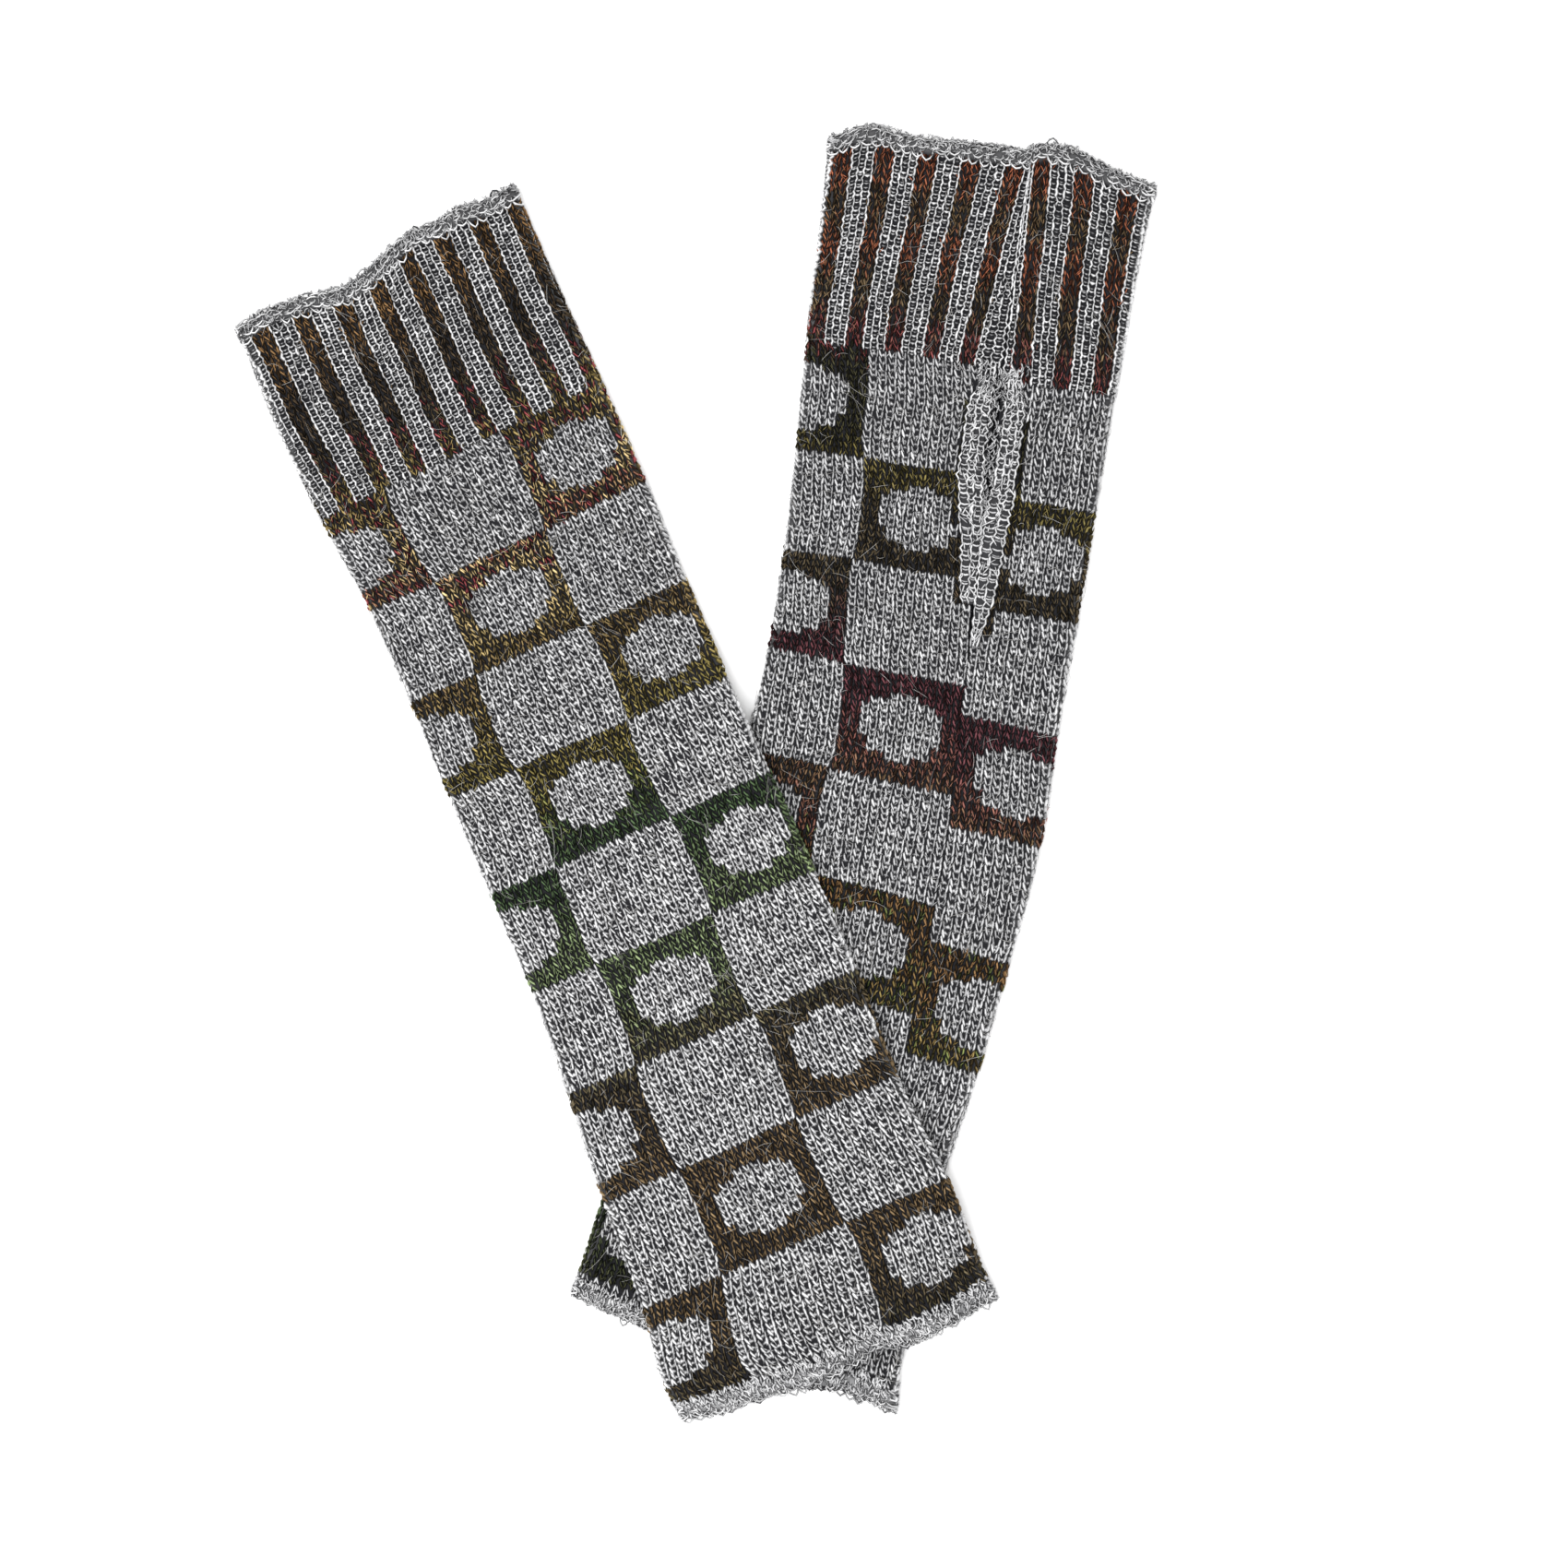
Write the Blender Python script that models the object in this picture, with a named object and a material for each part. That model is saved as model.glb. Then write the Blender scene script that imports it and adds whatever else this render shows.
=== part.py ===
"""A pair of knitted wrist warmers laid flat, the upper one across the lower one.

Each warmer is one knitted panel folded round into a flat tube. The two side edges of the panel
meet at a seam, and a stretch of that seam below the cuff is left open for the thumb. From the
top down a warmer has a rolled cast-on edge, a ribbed cuff, a plain body and a rolled hem.

Sizes are in millimetres until the points are written to the meshes. X and Y lie on the table
and Z is up, with the origin under the middle of the pair.
"""
import math
from collections import namedtuple

import bmesh
import bpy
import numpy as np

MM = 0.001

# Fabric
WALL = 1.6              # thickness of the knitted wall
HOLLOW = 0.6            # space between the two layers at the side folds
PUFF = 0.4              # extra space between the layers half way across
GAP = 0.3               # space between neighbouring pieces
OUTER_RADIUS = WALL + HOLLOW / 2
HALF_FOLD = 0.011       # half a side fold, as a share of the way round the tube

# Lengths down a warmer, from the straight line across its top
CUFF_START = 6.5
CUFF_END = 55.0
HEM_DEPTH = 7.5

# Ribs of the cuff
RIBS = 16
RIB_RISE = 0.5
RIB_PROFILE = ((0.00, 0.0), (0.36, 0.0), (0.46, 1.0), (0.90, 1.0))   # (share of a repeat, rise)

# Thumb slit
SLIT_START = 56.0
SLIT_END = 125.0
SLIT_OPENING = 2.4
BORDER_HEIGHT = 1.5
BORDER_STEPS = 12
BORDER_START = 56.0
BORDER_A_END = 114.0
BORDER_B_END = 123.0
BORDER_A_WIDTH = ((0.0, 5.5), (0.1, 7.2), (0.45, 7.0), (0.7, 4.4), (0.95, 3.6), (1.0, 2.6))
BORDER_B_WIDTH = ((0.0, 5.0), (0.1, 6.4), (0.6, 6.2), (0.85, 4.6), (1.0, 1.6))
BORDER_ARCH = ((0.0, 0.2), (0.15, 0.75), (0.4, 1.0), (0.7, 0.85), (1.0, 0.2))  # (share, height)

# How the upper warmer comes down off the lower one
DRAPE_SHELF = 4.0       # it stays level this far outside the lower one's edge
DRAPE_REACH = 18.0      # and is down on the table this far outside it
HEM_RISE = 1.0

# The middle of the pair on the table, taken off every point
MIDDLE_X = 0.27
MIDDLE_Y = -0.21

# How an edge rolls over: (share of the way in from the free edge, rise of the outer face)
EDGE_ROLL = ((0.0, -0.6), (0.15, 0.5), (0.5, 1.2), (0.85, 0.8), (1.0, 0.1))
HEM_ROLL = ((0.0, -0.6), (0.2, 0.4), (0.6, HEM_RISE), (1.0, 0.1))

# One row for each place measured down a warmer: how far along it is, the middle of the flat
# tube, its width, the slant of the knitted rows in degrees, and where the seam is, as a share
# of the way round from the left fold over the top.
Station = namedtuple("Station", "along x y width slant seam")

LOWER_STATIONS = (
    Station(0.0, 77.3, 158.2, 86.3, -9.1, 0.307),
    Station(28.3, 73.0, 130.2, 83.7, -8.2, 0.312),
    Station(54.4, 69.2, 104.3, 82.0, -8.4, 0.316),
    Station(82.1, 65.5, 76.9, 80.3, -8.6, 0.318),
    Station(111.3, 61.4, 48.0, 79.1, -9.6, 0.325),
    Station(138.4, 56.8, 21.2, 79.0, -11.9, 0.335),
    Station(167.7, 50.9, -7.4, 82.0, -13.0, 0.348),
    Station(200.1, 42.1, -38.6, 83.5, -15.5, 0.367),
    Station(230.3, 33.4, -67.5, 84.1, -16.9, 0.381),
    Station(259.9, 24.4, -95.7, 83.8, -17.0, 0.385),
    Station(285.0, 17.6, -119.9, 85.3, -17.0, 0.387),
    Station(308.0, 11.9, -142.2, 88.1, -18.0, 0.388),
    Station(316.9, 10.2, -150.8, 90.4, -19.9, 0.388),
)
UPPER_STATIONS = (
    Station(0.0, -82.8, 132.9, 81.9, 27.0, 0.909),
    Station(28.3, -71.7, 106.9, 82.4, 27.2, 0.909),
    Station(55.2, -60.3, 82.6, 82.0, 26.4, 0.909),
    Station(81.6, -48.7, 58.8, 80.0, 25.4, 0.910),
    Station(109.5, -37.8, 33.1, 79.3, 24.2, 0.912),
    Station(135.8, -27.7, 8.9, 79.7, 23.8, 0.915),
    Station(163.3, -16.7, -16.3, 80.3, 23.8, 0.915),
    Station(190.7, -5.7, -41.5, 80.9, 23.7, 0.913),
    Station(219.5, 4.7, -68.2, 82.7, 23.6, 0.917),
    Station(247.1, 14.1, -94.2, 83.6, 23.7, 0.924),
    Station(277.7, 26.2, -122.4, 86.8, 23.2, 0.926),
    Station(304.8, 35.1, -147.9, 88.9, 21.6, 0.925),
    Station(310.0, 37.6, -152.5, 88.5, 21.6, 0.925),
)

# How far each free edge wanders out past its straight line: (share across, mm)
LOWER_TOP_EDGE = ((0.0, 1.0), (0.07, 4.6), (0.13, 5.3), (0.22, 3.9), (0.35, 4.4), (0.5, 4.8),
                  (0.6, 5.2), (0.67, 8.2), (0.76, 7.4), (0.86, 4.2), (1.0, 1.6))
LOWER_HEM_EDGE = ((0.0, 0.5), (0.1, 1.9), (0.25, 2.8), (0.55, 2.5), (0.69, 3.0), (0.77, 1.2),
                  (0.85, 0.1), (1.0, 0.5))
UPPER_TOP_EDGE = ((0.0, 1.5), (0.07, 2.4), (0.14, 1.6), (0.25, 0.3), (0.36, -1.8), (0.46, -0.7),
                  (0.55, 1.7), (0.64, 3.2), (0.72, 2.3), (0.82, 3.3), (0.92, 1.6), (1.0, 2.0))
UPPER_HEM_EDGE = ((0.0, 0.3), (0.1, 2.0), (0.22, 1.4), (0.32, 2.5), (0.44, 3.0), (0.54, 1.8),
                  (0.62, 0.2), (0.7, 2.6), (0.78, 2.9), (0.88, 2.3), (1.0, 0.6))

# Sections of a body: distances along it
BODY_SECTIONS = (57.0, 62.0, 72.0, 84.0, 96.0, 108.0, 118.0, 124.0, 130.0, 145.0, 160.0, 175.0,
                 190.0, 205.0, 220.0, 235.0, 250.0, 265.0, 280.0, 292.0)
CUFF_SECTIONS = (17.0, 29.0, 42.0)
BODY_STEPS = 10         # steps across half the tube
EDGE_STEPS = 17

# Plain colours of the yarns, with a roughness for wool
COLOURS = {
    "cuff": (0.26, 0.22, 0.19),
    "body": (0.40, 0.40, 0.38),
    "edge": (0.50, 0.50, 0.51),
    "border": (0.36, 0.35, 0.33),
}
WOOL_ROUGHNESS = 0.92


def smooth_step(value):
    """0 below 0, 1 above 1 and an even S between."""
    value = np.clip(value, 0.0, 1.0)
    return value * value * (3.0 - 2.0 * value)


def read_rows(rows, share):
    """Read a short table of (share, value) rows at the given shares."""
    return np.interp(share, [row[0] for row in rows], [row[1] for row in rows])


def read_column(stations, name, along):
    """Read one column of a station table smoothly, and straight on past its ends."""
    places = np.array([row.along for row in stations])
    values = np.array([getattr(row, name) for row in stations])
    slopes = np.gradient(values, places)
    inside = np.clip(along, places[0], places[-1])
    low = np.clip(np.searchsorted(places, inside) - 1, 0, len(places) - 2)
    span = places[low + 1] - places[low]
    t = (inside - places[low]) / span
    rise = values[low + 1] - values[low]
    bend = (slopes[low] * span - rise) * (1.0 - t) - (slopes[low + 1] * span - rise) * t
    end_slope = np.where(along < places[0], slopes[0], slopes[-1])
    return values[low] + rise * t + bend * t * (1.0 - t) + end_slope * (along - inside)


def frame_at(stations, along):
    """Middle of the tube, direction across it and width, at distances along."""
    middle = np.stack([read_column(stations, "x", along), read_column(stations, "y", along)], -1)
    slant = np.radians(read_column(stations, "slant", along))
    across = np.stack([np.cos(slant), np.sin(slant)], -1)
    return middle, across, read_column(stations, "width", along)


def round_the_tube(turn):
    """Place across (-1 to 1) and angle of the outward normal, at a share of the way round."""
    knots = (0.0, HALF_FOLD, 0.5 - HALF_FOLD, 0.5 + HALF_FOLD, 1.0 - HALF_FOLD, 1.0)
    turn = np.mod(turn, 1.0)
    side = np.interp(turn, knots, (-1.0, -1.0, 1.0, 1.0, -1.0, -1.0))
    angle = np.interp(turn, knots, (180.0, 90.0, 90.0, -90.0, -90.0, -180.0))
    return side, np.radians(angle)


def lower_lift(x, y):
    """Height of the surface that the upper warmer lies on: table, or lower warmer."""
    point = np.stack([x, y], -1)
    along = np.full(x.shape, 160.0)
    for _ in range(8):
        middle, across, width = frame_at(LOWER_STATIONS, along)
        down = np.stack([across[..., 1], -across[..., 0]], -1)
        along = along + np.sum((point - middle) * down, -1)
    middle, across, width = frame_at(LOWER_STATIONS, along)
    outside = np.abs(np.sum((point - middle) * across, -1)) - width / 2
    end = LOWER_STATIONS[-1].along
    past_end = along - end - 3.0
    both = np.hypot(np.maximum(outside, 0.0), np.maximum(past_end, 0.0))
    distance = np.where((outside > 0) | (past_end > 0), both, -1.0)
    height = 2 * OUTER_RADIUS + PUFF + GAP
    height = height + HEM_RISE * smooth_step((along - end + HEM_DEPTH + 14.0) / 10.0)
    fall = smooth_step((distance - DRAPE_SHELF) / (DRAPE_REACH - DRAPE_SHELF))
    return height * (1.0 - fall)


class Warmer:
    """One wrist warmer: its stations, its free edges and the surface that it lies on."""

    def __init__(self, name, stations, top_edge, hem_edge, rests_on):
        self.name = name
        self.stations = stations
        self.top_edge = top_edge
        self.hem_edge = hem_edge
        self.rests_on = rests_on
        self.length = stations[-1].along

    def seam(self, along):
        """Share of the way round where the seam is, at one distance along."""
        return float(read_column(self.stations, "seam", np.array([along]))[0])

    def perimeter(self, along):
        """Way round the flat tube at one distance along."""
        return 2.0 * float(read_column(self.stations, "width", np.array([along]))[0])

    def surface(self, along, turn, depth, rise=0.0):
        """Points in mm: depth 0 is the outer face of the wall, 1 the inner one."""
        middle, across, width = frame_at(self.stations, along)
        side, angle = round_the_tube(turn)
        radius = OUTER_RADIUS - WALL * depth + rise
        reach = side * (width / 2 - OUTER_RADIUS) + np.cos(angle) * radius
        flat = middle + across * reach[..., None]
        top = np.clip(np.sin(angle), 0.0, 1.0)
        puff = PUFF * top * np.cos(side * math.pi / 2)
        ground = self.rests_on(flat[..., 0], flat[..., 1])
        height = ground + OUTER_RADIUS + np.sin(angle) * radius + puff
        return np.stack([flat[..., 0] - MIDDLE_X, flat[..., 1] - MIDDLE_Y, height], -1)


def table_top(x, y):
    return np.zeros(x.shape)


def stretches(seam, steps):
    """The stretches between seam, folds and seam again, and how many steps each is cut into."""
    folds = [place for place in (0.5, 1.0, 1.5) if seam < place < seam + 1.0]
    ends = [seam, *folds, seam + 1.0]
    return folds, [max(2, round((b - a) * 2 * steps)) for a, b in zip(ends, ends[1:])]


def turns_round(seam, folds, counts):
    """Places round the tube from one side of the seam to the other, close together at folds."""
    places = [seam]
    for place, count in zip(folds, counts):
        places.extend(np.linspace(places[-1], place - HALF_FOLD, count + 1)[1:])
        places.extend(place + HALF_FOLD * np.array((-0.5, 0.0, 0.5, 1.0)))
    places.extend(np.linspace(places[-1], seam + 1.0, counts[-1] + 1)[1:])
    return np.array(places)


def open_seam(turns, opening, perimeter):
    """Draw the two ends of a row of places back from the seam, by half the opening each."""
    start = turns[0]
    share = (turns - start) / (turns[-1] - start)
    return start + opening / perimeter / 2 + share * (1.0 - opening / perimeter)


def slit_opening(along):
    """Width of the gap at the seam: wide in the thumb slit, closed elsewhere."""
    share = np.clip((along - SLIT_START) / (SLIT_END - SLIT_START), 0.0, 1.0)
    return GAP + (SLIT_OPENING - GAP) * math.sin(math.pi * share) ** 0.7


def rib_rise(turns):
    """Rise of the ribs at places round the cuff, counted from its seam."""
    share = np.mod((turns - turns[0]) * RIBS, 1.0)
    rows = RIB_PROFILE + ((1.0, 0.0),)
    return RIB_RISE * read_rows(rows, share)


def rib_turns(seam):
    """Places round the cuff: the corners of every rib, and the folds."""
    corners = [seam + (rib + row[0]) / RIBS for rib in range(RIBS) for row in RIB_PROFILE]
    fold = np.array((-1.0, -0.4, 0.4, 1.0)) * HALF_FOLD
    for place in (0.5, 1.0, 1.5):
        if seam < place < seam + 1.0:
            corners = [turn for turn in corners if abs(turn - place) > 1.3 * HALF_FOLD]
            corners.extend(place + fold)
    return np.array(sorted(corners) + [seam + 1.0])


def mesh_object(name, colour, collection):
    """An empty object of its own mesh and wool-coloured material."""
    mesh = bpy.data.meshes.new(name)
    obj = bpy.data.objects.new(name, mesh)
    collection.objects.link(obj)
    material = bpy.data.materials.new(name)
    material.use_nodes = True
    shader = material.node_tree.nodes["Principled BSDF"]
    shader.inputs["Base Color"].default_value = (*colour, 1.0)
    shader.inputs["Roughness"].default_value = WOOL_ROUGHNESS
    shader.inputs["Metallic"].default_value = 0.0
    mesh.materials.append(material)
    return obj


def skin(obj, outer, inner):
    """Close a wall between an outer and an inner grid of points (sections, places, xyz)."""
    bm = bmesh.new()
    grids = []
    for grid in (outer, inner):
        grids.append([[bm.verts.new(point * MM) for point in row] for row in grid])
    out, inn = grids
    sections = len(out)
    places = len(out[0])
    for i in range(sections - 1):
        for j in range(places - 1):
            bm.faces.new((out[i][j], out[i][j + 1], out[i + 1][j + 1], out[i + 1][j]))
            bm.faces.new((inn[i][j], inn[i + 1][j], inn[i + 1][j + 1], inn[i][j + 1]))
        bm.faces.new((out[i][0], out[i + 1][0], inn[i + 1][0], inn[i][0]))
        bm.faces.new((out[i][-1], inn[i][-1], inn[i + 1][-1], out[i + 1][-1]))
    for j in range(places - 1):
        bm.faces.new((out[0][j], inn[0][j], inn[0][j + 1], out[0][j + 1]))
        bm.faces.new((out[-1][j], out[-1][j + 1], inn[-1][j + 1], inn[-1][j]))
    bmesh.ops.recalc_face_normals(bm, faces=bm.faces)
    bm.to_mesh(obj.data)
    bm.free()
    obj.data.shade_smooth()
    obj.data.set_sharp_from_angle(angle=math.radians(40))


def make_body(warmer, collection):
    """The panel between cuff and hem, open at its seam for the thumb."""
    obj = mesh_object(f"{warmer.name}_body", COLOURS["body"], collection)
    last = warmer.length - HEM_DEPTH
    places = [CUFF_END + GAP / 2]
    places += [place for place in BODY_SECTIONS if place < last - 5.0]
    places += [last - GAP / 2]
    folds, counts = stretches(warmer.stations[2].seam, BODY_STEPS)
    outer = []
    inner = []
    for place in places:
        turns = turns_round(warmer.seam(place), folds, counts)
        turns = open_seam(turns, slit_opening(place), warmer.perimeter(place))
        along = np.full(turns.shape, place)
        outer.append(warmer.surface(along, turns, 0.0))
        inner.append(warmer.surface(along, turns, 1.0))
    skin(obj, outer, inner)


def make_cuff(warmer, collection):
    """The ribbed cuff: ribs raised in the outer face over a plain inside."""
    obj = mesh_object(f"{warmer.name}_cuff", COLOURS["cuff"], collection)
    seam = warmer.stations[2].seam
    outer = []
    inner = []
    for place in (CUFF_START + GAP / 2, *CUFF_SECTIONS, CUFF_END - GAP / 2):
        turns = rib_turns(seam)
        rise = rib_rise(turns)
        turns = open_seam(turns, GAP, warmer.perimeter(place))
        rise = rise * (1.0 - under_side(turns))
        along = np.full(turns.shape, place)
        outer.append(warmer.surface(along, turns, 0.0, rise))
        inner.append(warmer.surface(along, turns, 1.0))
    skin(obj, outer, inner)


def under_side(turns):
    """1 on the layer that lies on the table, 0 on the upper one, even round the folds."""
    angle = round_the_tube(turns)[1]
    return smooth_step(0.5 - np.sin(angle) * 0.5)


def make_edge(warmer, collection, name, colour, roll, edge, inner_place, free_place, outward):
    """A rolled edge: it runs from a straight inner line to a wandering free edge."""
    obj = mesh_object(f"{warmer.name}_{name}", colour, collection)
    seam = warmer.seam(inner_place)
    turns = turns_round(seam, *stretches(seam, EDGE_STEPS))
    turns = open_seam(turns, GAP, warmer.perimeter(inner_place))
    side = round_the_tube(turns)[0]
    free = free_place + outward * read_rows(edge, (side + 1.0) / 2)
    top = 1.0 - under_side(turns)
    outer = []
    inner = []
    for share, rise in roll:
        along = free + (inner_place - free) * share
        lift = np.where(rise > 0, rise * top, rise)
        outer.append(warmer.surface(along, turns, 0.0, lift))
        inner.append(warmer.surface(along, turns, 1.0))
    skin(obj, outer, inner)


def make_border(warmer, collection, name, way, end, widths):
    """A knitted border beside the thumb slit, arched up from the panel's outer face."""
    obj = mesh_object(f"{warmer.name}_{name}", COLOURS["border"], collection)
    outer = []
    inner = []
    for share in np.linspace(0.0, 1.0, BORDER_STEPS + 1):
        place = BORDER_START + (end - BORDER_START) * share
        perimeter = warmer.perimeter(place)
        seam = warmer.seam(place)
        edge = slit_opening(place) / 2
        taper = 0.4 + 0.6 * math.sin(math.pi * min(0.5, 4 * min(share, 1 - share)))
        steps = np.array([row[0] for row in BORDER_ARCH])
        turns = seam + way * (edge + read_rows(widths, share) * steps) / perimeter
        heights = np.array([row[1] for row in BORDER_ARCH]) * BORDER_HEIGHT * taper
        along = np.full(turns.shape, place)
        outer.append(warmer.surface(along, turns, 0.0, GAP + heights))
        inner.append(warmer.surface(along, turns, 0.0, GAP))
    skin(obj, outer, inner)


def make_warmer(warmer, collection):
    make_edge(warmer, collection, "cuff_edge", COLOURS["edge"], EDGE_ROLL, warmer.top_edge,
              CUFF_START - GAP / 2, 0.0, -1.0)
    make_cuff(warmer, collection)
    make_body(warmer, collection)
    make_edge(warmer, collection, "hem", COLOURS["edge"], HEM_ROLL, warmer.hem_edge,
              warmer.length - HEM_DEPTH + GAP / 2, warmer.length, 1.0)


def clear_scene():
    for obj in list(bpy.data.objects):
        bpy.data.objects.remove(obj)


def main():
    clear_scene()
    collection = bpy.data.collections.new("wrist_warmers")
    bpy.context.scene.collection.children.link(collection)
    lower = Warmer("lower", LOWER_STATIONS, LOWER_TOP_EDGE, LOWER_HEM_EDGE, table_top)
    upper = Warmer("upper", UPPER_STATIONS, UPPER_TOP_EDGE, UPPER_HEM_EDGE, lower_lift)
    make_warmer(lower, collection)
    make_border(lower, collection, "slit_border_a", -1.0, BORDER_A_END, BORDER_A_WIDTH)
    make_border(lower, collection, "slit_border_b", 1.0, BORDER_B_END, BORDER_B_WIDTH)
    make_warmer(upper, collection)


main()
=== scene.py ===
# %% [markdown]
# # A pair of knitted wrist warmers, laid flat
#
# Two long tubes of fine wool lie crossed on a pale table. Each has a rolled edge, a cuff of grey
# ribs between brown stripes, a checker of plain grey blocks and dyed blocks with a grey spot, and a
# curling hem. Knitting is all texture, and at this distance every stitch can be seen, so the
# stitches are built as small strands of yarn. First comes the solid model, which sets every size.

# %% Load the solid model
import math

import bpy
import numpy as np
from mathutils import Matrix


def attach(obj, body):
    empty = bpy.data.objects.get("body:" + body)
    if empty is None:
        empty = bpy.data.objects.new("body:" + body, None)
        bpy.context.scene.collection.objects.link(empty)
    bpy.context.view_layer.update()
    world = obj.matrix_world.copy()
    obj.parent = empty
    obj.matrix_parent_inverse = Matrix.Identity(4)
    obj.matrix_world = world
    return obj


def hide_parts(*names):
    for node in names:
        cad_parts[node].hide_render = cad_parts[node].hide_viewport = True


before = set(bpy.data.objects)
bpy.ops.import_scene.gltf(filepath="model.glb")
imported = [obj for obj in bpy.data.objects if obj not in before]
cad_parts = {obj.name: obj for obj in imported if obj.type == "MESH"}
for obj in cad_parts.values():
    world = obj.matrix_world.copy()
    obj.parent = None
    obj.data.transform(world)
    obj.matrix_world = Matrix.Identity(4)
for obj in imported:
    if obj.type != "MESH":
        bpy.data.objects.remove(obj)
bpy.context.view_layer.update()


def add_object(name, data):
    """A new object in the scene."""
    made = bpy.data.objects.new(name, data)
    bpy.context.scene.collection.objects.link(made)
    return made


# %% [markdown]
# ## Camera
#
# The pair is seen from straight above. A long lens far away keeps the perspective small, as in a
# catalogue photograph. One pixel of the 1700 by 1687 picture is 0.24 mm on the wool.

# %% Camera straight above the pair
PICTURE_WIDTH = 1700 * 0.00024      # pixels by metres
LENS = 85.0
SENSOR = 36.0
VIEW_X, VIEW_Y = 0.0229, -0.0012    # the middle of the picture, in metres
CLOTH_TOP = 0.005
camera_data = bpy.data.cameras.new("camera")
camera_data.lens = LENS
camera_data.sensor_width = SENSOR
camera_data.clip_start = 0.01
camera = add_object("camera", camera_data)
camera.location = (VIEW_X, VIEW_Y, PICTURE_WIDTH * LENS / SENSOR + CLOTH_TOP)
bpy.context.scene.camera = camera
print("camera", round(camera.location.z, 3), "m above the table")

# %% [markdown]
# ## The shape that the knitting lies on
#
# A warmer laid flat is a tube pressed down to two layers with a tight fold at each side. Any place
# on it has three numbers: how far along it is in millimetres, how far round it is (0 at the left
# fold, half at the right fold, 1 at the left fold again), and how far it stands out from the wall.
# A function turns these into a point in space, so each strand can be laid in the flat pattern of
# the knitting and still follow the bends, folds and the place where one warmer climbs the other.

# %% Sizes of the tube, in millimetres
MM = 0.001
WALL = 1.6
HOLLOW = 0.6            # space between the two layers at the side folds
PUFF = 0.4              # extra space between them half way across
GAP = 0.3               # between a piece and what lies on it
SEAM_GAP = 0.06
OUTER_RADIUS = WALL + HOLLOW / 2
HALF_FOLD = 0.011       # half a side fold, as a share of the way round
HEM_DEPTH = 7.5
HEM_RISE = 1.0
HEM_PAST = 3.0          # how far the lower hem reaches past its last station
HEM_SLOPE_START, HEM_SLOPE = 14.0, 10.0
SLIT_START = 56.0
SLIT_END = 125.0
SLIT_OPENING = 2.4
DRAPE_SHELF = 4.0       # the upper warmer stays level this far outside the lower one
DRAPE_REACH = 18.0      # and is down on the table this far outside it
MIDDLE = (0.27, -0.21)  # the middle of the pair, taken off every point

# %% Where each warmer lies: along, x, y, width, slant of the rows, seam
COLUMNS = ("along", "x", "y", "width", "slant", "seam")
LOWER_STATIONS = (
    (0.0, 77.3, 158.2, 86.3, -9.1, 0.307),
    (28.3, 73.0, 130.2, 83.7, -8.2, 0.312),
    (54.4, 69.2, 104.3, 82.0, -8.4, 0.316),
    (82.1, 65.5, 76.9, 80.3, -8.6, 0.318),
    (111.3, 61.4, 48.0, 79.1, -9.6, 0.325),
    (138.4, 56.8, 21.2, 79.0, -11.9, 0.335),
    (167.7, 50.9, -7.4, 82.0, -13.0, 0.348),
    (200.1, 42.1, -38.6, 83.5, -15.5, 0.367),
    (230.3, 33.4, -67.5, 84.1, -16.9, 0.381),
    (259.9, 24.4, -95.7, 83.8, -17.0, 0.385),
    (285.0, 17.6, -119.9, 85.3, -17.0, 0.387),
    (308.0, 11.9, -142.2, 88.1, -18.0, 0.388),
    (316.9, 10.2, -150.8, 90.4, -19.9, 0.388),
)
UPPER_STATIONS = (
    (0.0, -82.8, 132.9, 81.9, 27.0, 0.909),
    (28.3, -71.7, 106.9, 82.4, 27.2, 0.909),
    (55.2, -60.3, 82.6, 82.0, 26.4, 0.909),
    (81.6, -48.7, 58.8, 80.0, 25.4, 0.910),
    (109.5, -37.8, 33.1, 79.3, 24.2, 0.912),
    (135.8, -27.7, 8.9, 79.7, 23.8, 0.915),
    (163.3, -16.7, -16.3, 80.3, 23.8, 0.915),
    (190.7, -5.7, -41.5, 80.9, 23.7, 0.913),
    (219.5, 4.7, -68.2, 82.7, 23.6, 0.917),
    (247.1, 14.1, -94.2, 83.6, 23.7, 0.924),
    (277.7, 26.2, -122.4, 86.8, 23.2, 0.926),
    (304.8, 35.1, -147.9, 88.9, 21.6, 0.925),
    (310.0, 37.6, -152.5, 88.5, 21.6, 0.925),
)

# %% How far each free edge wanders out: (share across, mm)
LOWER_TOP_EDGE = ((0.0, 1.0), (0.07, 4.6), (0.13, 5.3), (0.22, 3.9), (0.35, 4.4), (0.5, 4.8),
                  (0.6, 5.2), (0.67, 8.2), (0.76, 7.4), (0.86, 4.2), (1.0, 1.6))
LOWER_HEM_EDGE = ((0.0, 0.5), (0.1, 1.9), (0.25, 2.8), (0.55, 2.5), (0.69, 3.0), (0.77, 1.2),
                  (0.85, 0.1), (1.0, 0.5))
UPPER_TOP_EDGE = ((0.0, 1.5), (0.07, 2.4), (0.14, 1.6), (0.25, 0.3), (0.36, -1.8), (0.46, -0.7),
                  (0.55, 1.7), (0.64, 3.2), (0.72, 2.3), (0.82, 3.3), (0.92, 1.6), (1.0, 2.0))
UPPER_HEM_EDGE = ((0.0, 0.3), (0.1, 2.0), (0.22, 1.4), (0.32, 2.5), (0.44, 3.0), (0.54, 1.8),
                  (0.62, 0.2), (0.7, 2.6), (0.78, 2.9), (0.88, 2.3), (1.0, 0.6))


# %% Read a table smoothly
def smooth_step(value):
    value = np.clip(value, 0.0, 1.0)
    return value * value * (3.0 - 2.0 * value)


def read_rows(rows, share):
    return np.interp(share, [row[0] for row in rows], [row[1] for row in rows])


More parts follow.
